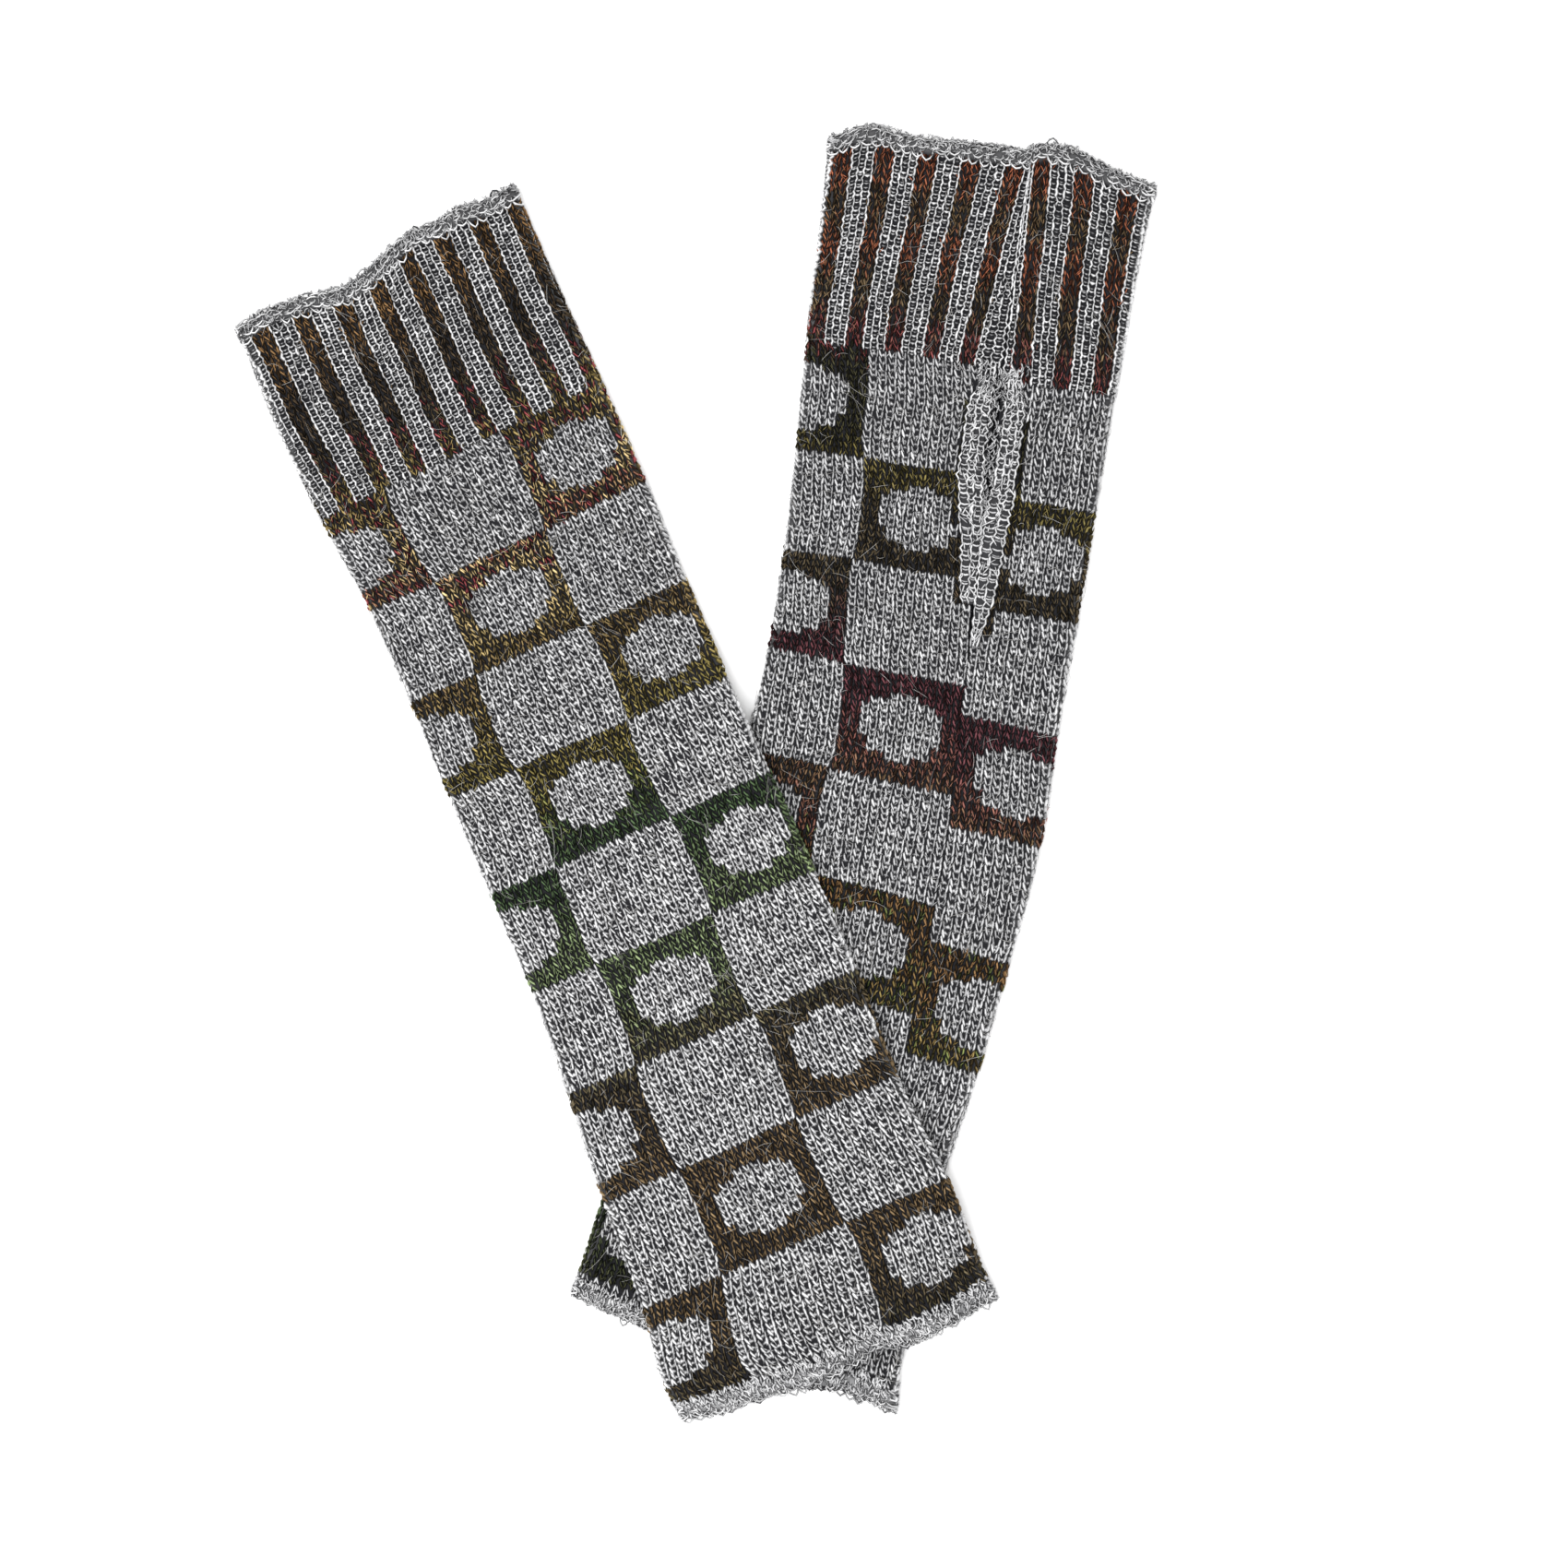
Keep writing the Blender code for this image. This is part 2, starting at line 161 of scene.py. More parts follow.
def read_column(stations, name, along):
    """One column of a station table along smooth curves, and straight on past its ends."""
    table = np.array(stations)
    places, values = table[:, 0], table[:, COLUMNS.index(name)]
    slopes = np.gradient(values, places)
    inside = np.clip(along, places[0], places[-1])
    low = np.clip(np.searchsorted(places, inside) - 1, 0, len(places) - 2)
    span = places[low + 1] - places[low]
    t = (inside - places[low]) / span
    rise = values[low + 1] - values[low]
    bend = (slopes[low] * span - rise) * (1.0 - t) - (slopes[low + 1] * span - rise) * t
    end_slope = np.where(along < places[0], slopes[0], slopes[-1])
    return values[low] + rise * t + bend * t * (1.0 - t) + end_slope * (along - inside)


def frame_at(stations, along):
    """Middle of the flat tube, its direction across, and its width."""
    middle = np.stack([read_column(stations, "x", along), read_column(stations, "y", along)], -1)
    slant = np.radians(read_column(stations, "slant", along))
    across = np.stack([np.cos(slant), np.sin(slant)], -1)
    return middle, across, read_column(stations, "width", along)


print("lower warmer is", LOWER_STATIONS[-1][0], "mm long, upper", UPPER_STATIONS[-1][0])


# %% Round the flat tube, and the ground under the upper warmer
def round_the_tube(turn):
    """Place across (-1 to 1) and angle of the outward direction, at a share of the way round."""
    knots = (0.0, HALF_FOLD, 0.5 - HALF_FOLD, 0.5 + HALF_FOLD, 1.0 - HALF_FOLD, 1.0)
    turn = np.mod(turn, 1.0)
    side = np.interp(turn, knots, (-1.0, -1.0, 1.0, 1.0, -1.0, -1.0))
    angle = np.interp(turn, knots, (180.0, 90.0, 90.0, -90.0, -90.0, -180.0))
    return side, np.radians(angle)


def under_side(turn):
    """1 on the layer that faces the table, 0 on the one above."""
    return smooth_step(0.5 - np.sin(round_the_tube(turn)[1]) * 0.5)


def table_top(x, y):
    """Height of what the lower warmer lies on."""
    return np.zeros(x.shape)


def lower_lift(x, y):
    """Height of what the upper warmer lies on: the table, or the lower warmer."""
    point = np.stack([x, y], -1)
    along = np.full(x.shape, 160.0)
    for _ in range(6):
        middle, across, width = frame_at(LOWER_STATIONS, along)
        down = np.stack([across[..., 1], -across[..., 0]], -1)
        along = along + np.sum((point - middle) * down, -1)
    middle, across, width = frame_at(LOWER_STATIONS, along)
    outside = np.abs(np.sum((point - middle) * across, -1)) - width / 2
    past_last = along - LOWER_STATIONS[-1][0]
    past_end = past_last - HEM_PAST
    both = np.hypot(np.maximum(outside, 0.0), np.maximum(past_end, 0.0))
    distance = np.where((outside > 0) | (past_end > 0), both, -1.0)
    height = 2 * OUTER_RADIUS + PUFF + GAP
    hem = smooth_step((past_last + HEM_DEPTH + HEM_SLOPE_START) / HEM_SLOPE)
    height = height + HEM_RISE * hem
    return height * (1.0 - smooth_step((distance - DRAPE_SHELF) / (DRAPE_REACH - DRAPE_SHELF)))


# %% [markdown]
# ## The knitter's chart
#
# The panel is 64 stitches wide, from one side of the seam round to the other. Rows are counted from
# the end of the cuff: the cuff's rows are negative, and each block is 16 rows of 13 stitches. The
# two sides of the lower warmer's seam don't quite match, as on many a hand-finished piece, so its
# rows are read from two tables that blend round the back. A dyed block draws in a little, because
# two yarns are carried through it, and the plain block beside it spreads.

# %% The chart of one warmer
WALES = 64              # stitches all round
RIB_ROWS = 26
BLOCK_ROWS = 16
BODY_ROWS = 9 * BLOCK_ROWS
STITCH_WIDE = 2.6       # mm, on average
ROW_HIGH = 1.75
HEM_ROW_HIGH = 1.45
CURL = 4.0              # mm of the cuff's edge that curls over
HEM_LOOPS = 1.2         # mm of the hem that is loops alone
DRAW_IN = 0.34          # stitches that a dyed block draws in on each side


class Warmer:
    """One wrist warmer: where it lies, its edges, its chart and its lean near the seam."""

    def __init__(self, name, stations, rests_on, top_edge, hem_edge, borders, odd, near, far, lean):
        self.name, self.stations, self.rests_on = name, stations, rests_on
        self.top_edge, self.hem_edge = top_edge, hem_edge
        self.borders, self.odd, self.near, self.far, self.lean = borders, odd, near, far, lean
        self.length = stations[-1][0]
        self.hem_rows = round((self.length - near[-1]) / HEM_ROW_HIGH)

    def around(self, along):
        """The way round the flat tube, in mm."""
        return 2.0 * read_column(self.stations, "width", along)

    def seam(self, along):
        """Where the seam is, as a share of the way round."""
        return read_column(self.stations, "seam", along)

    def surface(self, along, turn, rise, depth=0.0):
        """Points in metres, from places along, round and out from the wall."""
        middle, across, width = frame_at(self.stations, along)
        side, angle = round_the_tube(turn)
        radius = OUTER_RADIUS - WALL * depth + rise
        reach = side * (width / 2 - OUTER_RADIUS) + np.cos(angle) * radius
        flat = middle + across * reach[..., None]
        puff = PUFF * np.clip(np.sin(angle), 0.0, 1.0) * np.cos(side * math.pi / 2)
        ground = self.rests_on(flat[..., 0], flat[..., 1])
        height = ground + OUTER_RADIUS + np.sin(angle) * radius + puff
        return np.stack([flat[..., 0] - MIDDLE[0], flat[..., 1] - MIDDLE[1], height], -1) * MM

    def opening(self, along):
        """Width of the gap at the seam: wide at the thumb slit, closed elsewhere."""
        share = np.clip((along - SLIT_START) / (SLIT_END - SLIT_START), 0.0, 1.0)
        return SEAM_GAP + (SLIT_OPENING - SEAM_GAP) * np.sin(math.pi * share) ** 0.7

    def row_place(self, wale, row):
        """Distance along the warmer of a row, at a stitch."""
        rows = np.arange(len(self.near)) * BLOCK_ROWS
        blend = smooth_step((wale - 13.0) / 25.0)
        near, far = (np.interp(row, rows, table) for table in (self.near, self.far))
        place = near * (1.0 - blend) + far * blend
        top = self.free_edge(self.stations[0][5] + wale / WALES) + CURL
        place = place + (place - top) / RIB_ROWS * np.minimum(row, 0.0)
        bottom = self.free_edge(self.stations[-1][5] + wale / WALES, True) - HEM_LOOPS
        hem_row = (row - rows[-1]) / self.hem_rows
        place = np.where(hem_row > 0, place + (bottom - place) * hem_row, place)
        return place + 0.3 * np.sin(wale / 2.3 + row / 7.1) * np.sin(row / 11.0 + 1.0)

    def dye_place(self, row):
        """Where a row lies in the dye, as a distance along the panel."""
        rows = np.concatenate([[-RIB_ROWS], np.arange(len(self.far)) * BLOCK_ROWS])
        return np.interp(row, rows, (0.0, *self.far))

    def column(self, wale):
        """The column of blocks that a stitch is in, and its two borders."""
        edges = np.array(self.borders)
        column = np.clip(np.searchsorted(edges, wale, side="right") - 1, 0, len(edges) - 2)
        return column, edges[column], edges[column + 1]

    def kind(self, block):
        """+1 for a dyed block, -1 for a plain one, from its row and column added."""
        return np.where(np.mod(block + self.odd, 2) == 0, 1.0, -1.0)

    def drawn_in(self, wale, row):
        """How far a stitch is pulled sideways by the dyed blocks, in stitches."""
        column, low, high = self.column(wale)
        wave = np.clip(1.7 * np.sin(math.pi * row / BLOCK_ROWS), -1.0, 1.0)
        wave = np.where((row < 0) | (row > BODY_ROWS), 0.0, wave)
        first = self.kind(column) * wave * DRAW_IN
        share = (wale - low) / (high - low)
        at_low = np.where(column == 0, 0.0, first)
        at_high = np.where(column == len(self.borders) - 2, 0.0, -first)
        return at_low * (1.0 - share) + at_high * share

    def turn(self, wale, row, along):
        """Share of the way round the tube of a stitch."""
        wale = wale + self.drawn_in(wale, row) + self.lean(wale, row)
        edge = np.clip(np.minimum(wale, WALES - wale) / 4.0, 0.0, 1.0)
        wale = wale + 0.14 * edge * np.sin(row / 4.7 + wale / 3.9) * np.sin(row / 9.0 + 2.0)
        gap = self.opening(along) / self.around(along)
        return self.seam(along) + gap / 2 + (wale / WALES) * (1.0 - gap)

    def free_edge(self, turn, hem=False):
        """Distance along of the free edge at a place round the tube."""
        share = (round_the_tube(turn)[0] + 1.0) / 2
        if hem:
            return self.length + read_rows(self.hem_edge, share)
        return -read_rows(self.top_edge, share)


# %% How the ribs lean, and the two warmers
def down_cuff(row):
    """0 at the cuff's top row, 1 at its last row and below."""
    return np.clip(1.0 + row / RIB_ROWS, 0.0, 1.0)


def near_cuff(row):
    """1 in the cuff, fading to 0 over the body's first rows."""
    return smooth_step((7.0 - row) / 9.0)


def lower_lean(wale, row):
    """Beside the thumb slit the ribs fan out towards the seam's two sides."""
    down = down_cuff(row)
    slope = 0.044 * (wale - 45.5)
    left = (0.4 + slope) * (1.0 - down) - (0.7 + slope) * down
    left = left * smooth_step((wale - 34.0) / 10.0) * np.clip((WALES - wale) / 1.2, 0.0, 1.0)
    right = (0.1 * wale - 0.65) * (1.0 - down) + 0.5 * down
    right = right * smooth_step((22.0 - wale) / 10.0) * np.clip(wale / 1.2, 0.0, 1.0)
    return (left + right) * near_cuff(row)


def upper_lean(wale, row):
    """The cuff's left side is pushed a little askew at its top."""
    down = down_cuff(row)
    top = (down - 1.0) * np.clip(1.0 - np.abs(wale - 7.0) / 11.0, 0.0, 1.0)
    foot = 0.25 * down * smooth_step((wale - 8.0) / 6.0) * smooth_step((42.0 - wale) / 6.0)
    return (top + foot) * near_cuff(row)


# where each block begins, in mm down the warmer, on the seam's two sides
LOWER_NEAR = (55.0, 85.5, 114.0, 142.0, 170.7, 200.3, 229.3, 257.5, 284.0, 311.0)
LOWER_FAR = (52.0, 80.5, 107.3, 134.8, 162.8, 191.2, 219.5, 249.5, 280.0, 310.0)
UPPER_ROWS = (54.0, 81.5, 108.5, 135.5, 163.0, 190.5, 218.7, 248.0, 277.5, 306.0)
lower = Warmer("lower", LOWER_STATIONS, table_top, LOWER_TOP_EDGE, LOWER_HEM_EDGE,
               (0, 13, 26, 38, 51, WALES), 1, LOWER_NEAR, LOWER_FAR, lower_lean)
upper = Warmer("upper", UPPER_STATIONS, lower_lift, UPPER_TOP_EDGE, UPPER_HEM_EDGE,
               (0, 13, 26, 39, 51, WALES), 0, UPPER_ROWS, UPPER_ROWS, upper_lean)
print("stitches in a warmer:", WALES * (RIB_ROWS + BODY_ROWS))

# %% [markdown]
# ## Which yarn each stitch has
#
# A dyed block has a frame of dyed stitches round an oval of grey ones. The oval is a formula: a
# stitch is grey inside if its distance from the block's middle is less than the oval's. Beside
# the lower warmer's thumb slit one dyed stitch runs down each side, outside the grey ribs of its
# border.

# %% Sizes of the slit's borders
BORDER_START = 56.0
BORDER_A_END = 114.0
BORDER_B_END = 123.0
BORDER_HEIGHT = 1.5
BORDER_A_WIDTH = ((0.0, 5.5), (0.1, 7.2), (0.45, 6.8), (0.7, 4.2), (0.95, 3.4), (1.0, 2.6))
BORDER_B_WIDTH = ((0.0, 5.0), (0.1, 6.4), (0.5, 5.6), (0.65, 4.6), (0.85, 3.8), (1.0, 1.6))
BORDER_ARCH = ((0.0, 0.2), (0.15, 0.75), (0.4, 1.0), (0.7, 0.85), (1.0, 0.2))
BORDERS = {-1.0: (BORDER_A_END, BORDER_A_WIDTH), 1.0: (BORDER_B_END, BORDER_B_WIDTH)}


def border_share(way, along):
    """How far down a border a place is: 0 at its top, 1 at its end."""
    return (along - BORDER_START) / (BORDERS[way][0] - BORDER_START)


def inner_edge(along):
    """Distance of a border's inner side from the seam: the two meet half way down."""
    return 0.12 + 1.9 * smooth_step((99.0 - along) / 26.0)


def outer_edge(way, along):
    width = read_rows(BORDERS[way][1], border_share(way, along))
    return np.maximum(lower.opening(along) / 2 + width, inner_edge(along) + 1.0)


# %% Yarn of each stitch in the body
SPOT_WIDE = 4.95        # half the spot's width, in stitches
SPOT_HIGH = 4.85        # half its height, in rows
SPOT_MIDDLE = 7.9
SPOT_POWER = 1.8        # 2 would be an ellipse
SLIT_STITCH = 1.6       # mm outside the borders that are dyed
UNDER_BORDER = 1.7      # mm of the body that a border hides
NO_BORDER = 99.0        # mm, in place of a distance where there is no border


def from_slit(wale, row):
    """A stitch's distance outside the slit's borders in mm, or a large number below them."""
    along = lower.row_place(wale + 0.5, row + 0.5)
    scale = lower.around(along) / WALES
    gap = lower.opening(along) / 2
    left = (WALES - wale - 0.5) * scale + gap - outer_edge(-1.0, along)
    right = (wale + 0.5) * scale + gap - outer_edge(1.0, along)
    left = np.where(along < BORDER_A_END, left, NO_BORDER)
    right = np.where(along < BORDER_B_END, right, NO_BORDER)
    return np.minimum(left, right)


def is_dyed(warmer, wale, row):
    """True where the stitch at this column and row is of dyed yarn."""
    column, low, high = warmer.column(wale + 0.5)
    kind = warmer.kind(column + np.floor((row + 0.5) / BLOCK_ROWS))
    inside = np.abs((wale - (low + high - 1) / 2) / SPOT_WIDE) ** SPOT_POWER
    below = np.mod(row, BLOCK_ROWS) + 0.5 - SPOT_MIDDLE
    inside = inside + np.abs(below / SPOT_HIGH) ** SPOT_POWER
    dyed = (kind > 0) & (inside > 1.0)
    if warmer is lower:
        dyed = dyed | ((from_slit(wale, row) < SLIT_STITCH) & (row > 4))
    return dyed & (row < BODY_ROWS)


# %% [markdown]
# ## A strand of yarn
#
# Everything knitted here is made of short strands. A strand is a spindle with a pointed tip at each
# end and rings of three corners between them: left, crest and right. With smooth shading three
# corners are enough at this size. All the strands of a piece are worked out at once as arrays of
# places in the chart, which is hundreds of times faster than making them one by one. Each strand
# also gets its own small cell in a texture map, so that its colour can be painted on it later.

# %% Build a mesh of many strands
CELL_MARGIN = 0.08      # free border of a strand's texture cell
TIP_PAINTED_LIGHT = 0.3          # painted light at a strand's tips, which are shaded; its crest is 1, a painted highlight
FLANK_PAINTED_LIGHT = 0.6        # painted light at its two sides, paler where the side fold turns them up


def strand_pattern(sections):
    """Corners, and places in a texture cell, of the faces of one strand."""
    faces, cells = [], []
    down = np.linspace(0.0, 1.0, sections)
    last = 1 + 3 * (sections - 2)
    for side in range(3):
        near, far = side / 3, (side + 1) / 3
        one, two = 1 + side, 1 + (side + 1) % 3
        faces.append((0, two, one))
        cells.append(((near + far) / 2, down[0], far, down[1], near, down[1]))
        for ring in range(sections - 3):
            a, b = one + 3 * ring, two + 3 * ring
            faces.append((a, b, b + 3, a + 3))
            low, high = down[ring + 1], down[ring + 2]
            cells.append((near, low, far, low, far, high, near, high))
        a, b = one + 3 * (sections - 3), two + 3 * (sections - 3)
        faces.append((a, b, last))
        cells.append((near, down[-2], far, down[-2], (near + far) / 2, down[-1]))
    return faces, cells, last + 1


def mesh_from(name, points, loops, starts, totals, cells):
    """A mesh from arrays: points, the corners of all faces, and their texture places."""
    mesh = bpy.data.meshes.new(name)
    mesh.vertices.add(len(points))
    mesh.vertices.foreach_set("co", points.astype(np.float32).ravel())
    mesh.loops.add(len(loops))
    mesh.loops.foreach_set("vertex_index", loops.astype(np.int32))
    mesh.polygons.add(len(starts))
    mesh.polygons.foreach_set("loop_start", starts.astype(np.int32))
    mesh.polygons.foreach_set("loop_total", totals.astype(np.int32))
    mesh.uv_layers.new(name="OFBake").uv.foreach_set("vector", cells.astype(np.float32).ravel())
    mesh.update(calc_edges=True)
    mesh.shade_smooth()
    return mesh


def set_values(mesh, values):
    """One number on each point, for every name."""
    for key, value in values.items():
        layer = mesh.attributes.new(key, "FLOAT", "POINT")
        layer.data.foreach_set("value", value.astype(np.float32))


def strand_mesh(name, rings, tips, flank, values):
    """A piece of many strands: rings (strands, sections - 2, 3, xyz) and tips (strands, 2, xyz).

    flank (strands, sections - 2) is the painted light of a ring's two sides; its crest is 1.
    """
    count, inner = rings.shape[:2]
    faces, cells, corners = strand_pattern(inner + 2)
    points = np.concatenate([tips[:, :1], rings.reshape(count, -1, 3), tips[:, 1:]], 1)
    base = np.arange(count)[:, None] * corners
    loops = (base + np.concatenate(faces)[None]).ravel()
    totals = np.tile([len(face) for face in faces], count)
    starts = np.concatenate([[0], np.cumsum(totals)[:-1]])
    side = math.ceil(math.sqrt(count))
    cell = np.concatenate(cells).reshape(1, -1, 2) * (1.0 - 2 * CELL_MARGIN) + CELL_MARGIN
    index = np.arange(count)
    corner = np.stack([index % side, index // side], -1)[:, None, :]
    mesh = mesh_from(name, points.reshape(-1, 3), loops, starts, totals, (cell + corner) / side)
    values = {key: np.repeat(value, corners) for key, value in values.items()}
    # the crest value is painted light: a painted highlight of 1 on each crest, painted shade at
    # tips and sides
    ends = np.full((count, 1), TIP_PAINTED_LIGHT)
    ring_painted_light = np.stack([flank, np.ones(flank.shape), flank], -1).reshape(count, -1)
    values["crest"] = np.concatenate([ends, ring_painted_light, ends], 1).ravel()
    set_values(mesh, values)
    return mesh


# %% Lay strands in the chart of a warmer
PRESSED = 0.35          # mm that the layer below is pressed in
OFF_TABLE = 0.03        # mm that it stays off what it lies on


def no_lift(along, turn):
    return 0.0


class Strands:
    """Strands gathered for one piece: paths in the chart, thicknesses and colour values."""

    def __init__(self, warmer, lift=no_lift):
        self.warmer, self.lift = warmer, lift
        self.batches = []

    def add(self, wale, row, half, low, high, tone, keep=slice(None)):
        """wale and row are (strands, sections). half is the half width in mm, low and high are the
        heights of the two sides and of the crest, and keep picks some of the strands.
        """
        along = self.warmer.row_place(wale, row)
        dye = self.warmer.dye_place(row.mean(1))
        self.add_at(along, self.warmer.turn(wale, row, along), half, low, high, tone, dye, keep)

    def add_at(self, along, turn, half, low, high, tone, dye=0.0, keep=slice(None)):
        """The same, with places along and round the tube in place of stitches and rows."""
        parts = [np.broadcast_to(part, turn.shape)[keep] for part in (along, turn, half, low, high)]
        parts += [np.broadcast_to(part, turn.shape[:1])[keep] for part in (tone, dye)]
        self.batches.append(parts)

    def points(self, along, turn, rise):
        """Points in metres. On the layer below, nothing may pass through the table."""
        rise, under = rise + self.lift(along, turn), under_side(turn)
        pressed = np.minimum(rise - PRESSED, -OFF_TABLE)
        return self.warmer.surface(along, turn, rise * (1.0 - under) + pressed * under)

    def build(self, name, seed=0):
        """Make the object. Each strand gets a tone, its place in the dye and a random number."""
        along, turn, half, low, high, tone, dye = (np.concatenate(p) for p in zip(*self.batches))
        around = self.warmer.around(along)
        step_x = np.gradient(turn, axis=1) * around
        step_y = np.gradient(along, axis=1)
        size = np.hypot(step_x, step_y) + 1e-9
        side_x, side_y = step_y / size, -step_x / size
        rings = [self.points((along + way * side_y * half)[:, 1:-1],
                             (turn + way * side_x * half / around)[:, 1:-1], rise[:, 1:-1])
                 for way, rise in ((-1.0, low), (0.0, high), (1.0, low))]
        ends = [0, -1]
        tips = self.points(along[:, ends], turn[:, ends], ((low + high) / 2)[:, ends])
        chance = np.random.default_rng(seed).random(len(along))
        values = {"tone": tone, "dye": dye, "chance": chance}
        # painted light: a strand's sides are paler round the side folds, where they are turned up
        flank = FLANK_PAINTED_LIGHT * np.abs(np.cos(round_the_tube(turn)[1]))[:, 1:-1]
        mesh = strand_mesh(name, np.stack(rings, 2), tips, flank, values)
        mesh.calc_loop_triangles()
        print(name, len(along), "strands", len(mesh.loop_triangles), "triangles")
        return add_object(name, mesh)


# %% [markdown]
# ## The body's stitches
#
# Seen from its right side a knit stitch is a V, pointing to the hem, and each of its legs is a
# strand. Grey yarn is thin and springy, so its legs stand apart and leave small holes, dark with
# the painted shade of the cloth behind. They snake a little, and a wide soft bar lies behind each
# V, painted darker than the legs as shade. Dyed yarn is plump and fills its stitch, with thin
# bright wisps over it. Each leg is moved, thickened and shaded by a small random amount, or the
# cloth would look printed, and the left leg of each V is painted paler, as light from the left and
# the yarn's twist. The layer that faces the table has fewer sections to a strand.

# %% Legs of the knit stitches
SNAKE = 0.05            # how far a leg snakes, in stitches
LEFT_LEG_PAINTED_LIGHT = 0.08          # how much paler the left leg is painted: light from the left, and the yarn's twist
LEG_BASE = -0.38        # mm, the height of a leg's two sides; 0 is the wall's face
BAR_HALF = 0.72         # mm, half the width of the bar behind a stitch
BAR_BASE, BAR_TOP = -0.4, -0.16
BAR_REACH = 0.52        # half its length, in stitches
GREY_LEGS = (0.14, 0.37, 0.46, 0.2)     # foot and head in stitches, half width and height in mm
DYED_LEGS = (0.06, 0.38, 0.44, 0.30)
RIB_LEGS = (0.06, 0.37, 0.42, 0.14)
HEM_LEGS = (0.14, 0.4, 0.42, 0.35)


def steps(sections):
    """Shares along a strand, as a row."""
    return np.linspace(0.0, 1.0, sections)[None]


def sway(rng, count, size):
    """A random amount for each strand, as a column."""
    return rng.normal(0.0, size, (count, 1))


def tones(rng, count, mean, spread, low=0.0, high=1.0):
    """A random tone for each strand."""
    return (mean + rng.normal(0.0, spread, count)).clip(low, high)


def tone_drift(warmer, wale, row):
    """Slow changes of tone: lighter stretches, a paling along the body's first half, the upper hem
    palest.
    """
    streak = 0.10 * np.sin(1.9 * row + 0.16 * wale) * np.sin(0.23 * row - 0.21 * wale + 1.0)
    if warmer is lower:
        return streak + 0.10 * smooth_step(row / 80.0) - 0.24
    return streak + 0.19 * smooth_step((row - 10.0) / 75.0) - 0.16


def add_legs(strands, wale, row, sections, legs, rng):
    """Two legs for each stitch: foot and head are their distances from the stitch's middle."""
    foot, head, half, high = legs
    t, count = steps(sections), len(wale)
    shade = tone_drift(strands.warmer, wale, row)
    for way in (-1.0, 1.0):
        spread = head + (foot - head) * t + 0.05 * np.sin(math.pi * t)
        across = wale[:, None] + 0.5 + way * spread - SNAKE * np.sin(2 * math.pi * t)
        across = across + sway(rng, count, 0.05) + sway(rng, count, 0.06) * (t - 0.5)
        down = row[:, None] - 0.3 + 1.5 * t + sway(rng, count, 0.06)
        thick = half * (1.0 + sway(rng, count, 0.14)).clip(0.6, 1.4)
        crest = high + sway(rng, count, 0.09)
        swell = np.sin(math.pi * (0.12 + 0.76 * t))
        # the left leg is painted paler, as light from the left and the yarn's twist
        tone = tones(rng, count, 0.5 - LEFT_LEG_PAINTED_LIGHT * way + shade, 0.2)
        high_at = LEG_BASE + (crest - LEG_BASE) * swell
        strands.add(across, down, thick * swell, LEG_BASE, high_at, tone)


def add_bars(strands, wale, row, rng):
    """A soft bar across each stitch, low behind its legs, painted darker as shade."""
    t, count = steps(3), len(wale)
    across = wale[:, None] + 0.5 + BAR_REACH * (2.0 * t - 1.0) + sway(rng, count, 0.08)
    down = row[:, None] + 0.85 - 0.25 * np.sin(math.pi * t) + sway(rng, count, 0.16)
    shade = 0.6 * tone_drift(strands.warmer, wale, row)
    # a low tone: painted shade in the recess behind the legs
    tone = tones(rng, count, 0.32 + shade, 0.15, high=0.7)
    half = BAR_HALF * rng.uniform(0.8, 1.2, (count, 1))
    strands.add(across, down, half, BAR_BASE, BAR_TOP, tone)


def add_fibres(strands, wale, row, rng, sections=4, bright=0.62):
    """Thin wisps over the stitches, askew by a little."""
    t, count = steps(sections), len(wale)
    way = rng.choice([-1.0, 1.0], (count, 1))
    across = wale[:, None] + 0.5 + way * (0.34 - 0.3 * t) + sway(rng, count, 0.22)
    across = across + sway(rng, count, 0.22) * (t - 0.5)
    down = row[:, None] - 0.1 + rng.uniform(0.7, 1.3, (count, 1)) * t + sway(rng, count, 0.3)
    strands.add(across, down, 0.12, 0.14, 0.36, tones(rng, count, bright, 0.22))


def body_chart(warmer):
    """Column, row and yarn of every body stitch that isn't hidden under a slit border."""
    wale, row = (part.ravel() for part in np.meshgrid(np.arange(WALES), np.arange(BODY_ROWS)))
    dyed = is_dyed(warmer, wale, row)
    if warmer is lower:
        bare = from_slit(wale, row) > -UNDER_BORDER
        wale, row, dyed = wale[bare], row[bare], dyed[bare]
    turn = warmer.turn(wale + 0.5, row + 0.5, warmer.row_place(wale + 0.5, row + 0.5))
    return wale.astype(float), row.astype(float), dyed, under_side(turn) > 0.5


def knit_body(warmer, seed):
    """The stitches of a body: plain and dyed, above and below, and the bars of the plain ones."""
    rng = np.random.default_rng(seed)
    wale, row, dyed, under = body_chart(warmer)
    kinds = (("plain", "top", ~dyed & ~under, 5, GREY_LEGS),
             ("dyed", "top", dyed & ~under, 4, DYED_LEGS),
             ("plain", "under", ~dyed & under, 3, GREY_LEGS),
             ("dyed", "under", dyed & under, 3, DYED_LEGS))
    pieces = []
    for yarn, side, pick, sections, legs in kinds:
        strands = Strands(warmer)
        add_legs(strands, wale[pick], row[pick], sections, legs, rng)
        if (yarn, side) == ("dyed", "top"):
            add_fibres(strands, np.repeat(wale[pick], 2), np.repeat(row[pick], 2), rng)
        pieces.append(strands.build(f"{warmer.name}_{yarn}_knit_{side}", seed))
    bars = Strands(warmer)
    pick = ~under & ~dyed
    add_bars(bars, wale[pick], row[pick], rng)
    add_fibres(bars, wale[pick], row[pick], rng, 3, 0.45)
    pieces.append(bars.build(f"{warmer.name}_plain_bars", seed))
    return pieces


lower_body, upper_body = knit_body(lower, 11), knit_body(upper, 23)
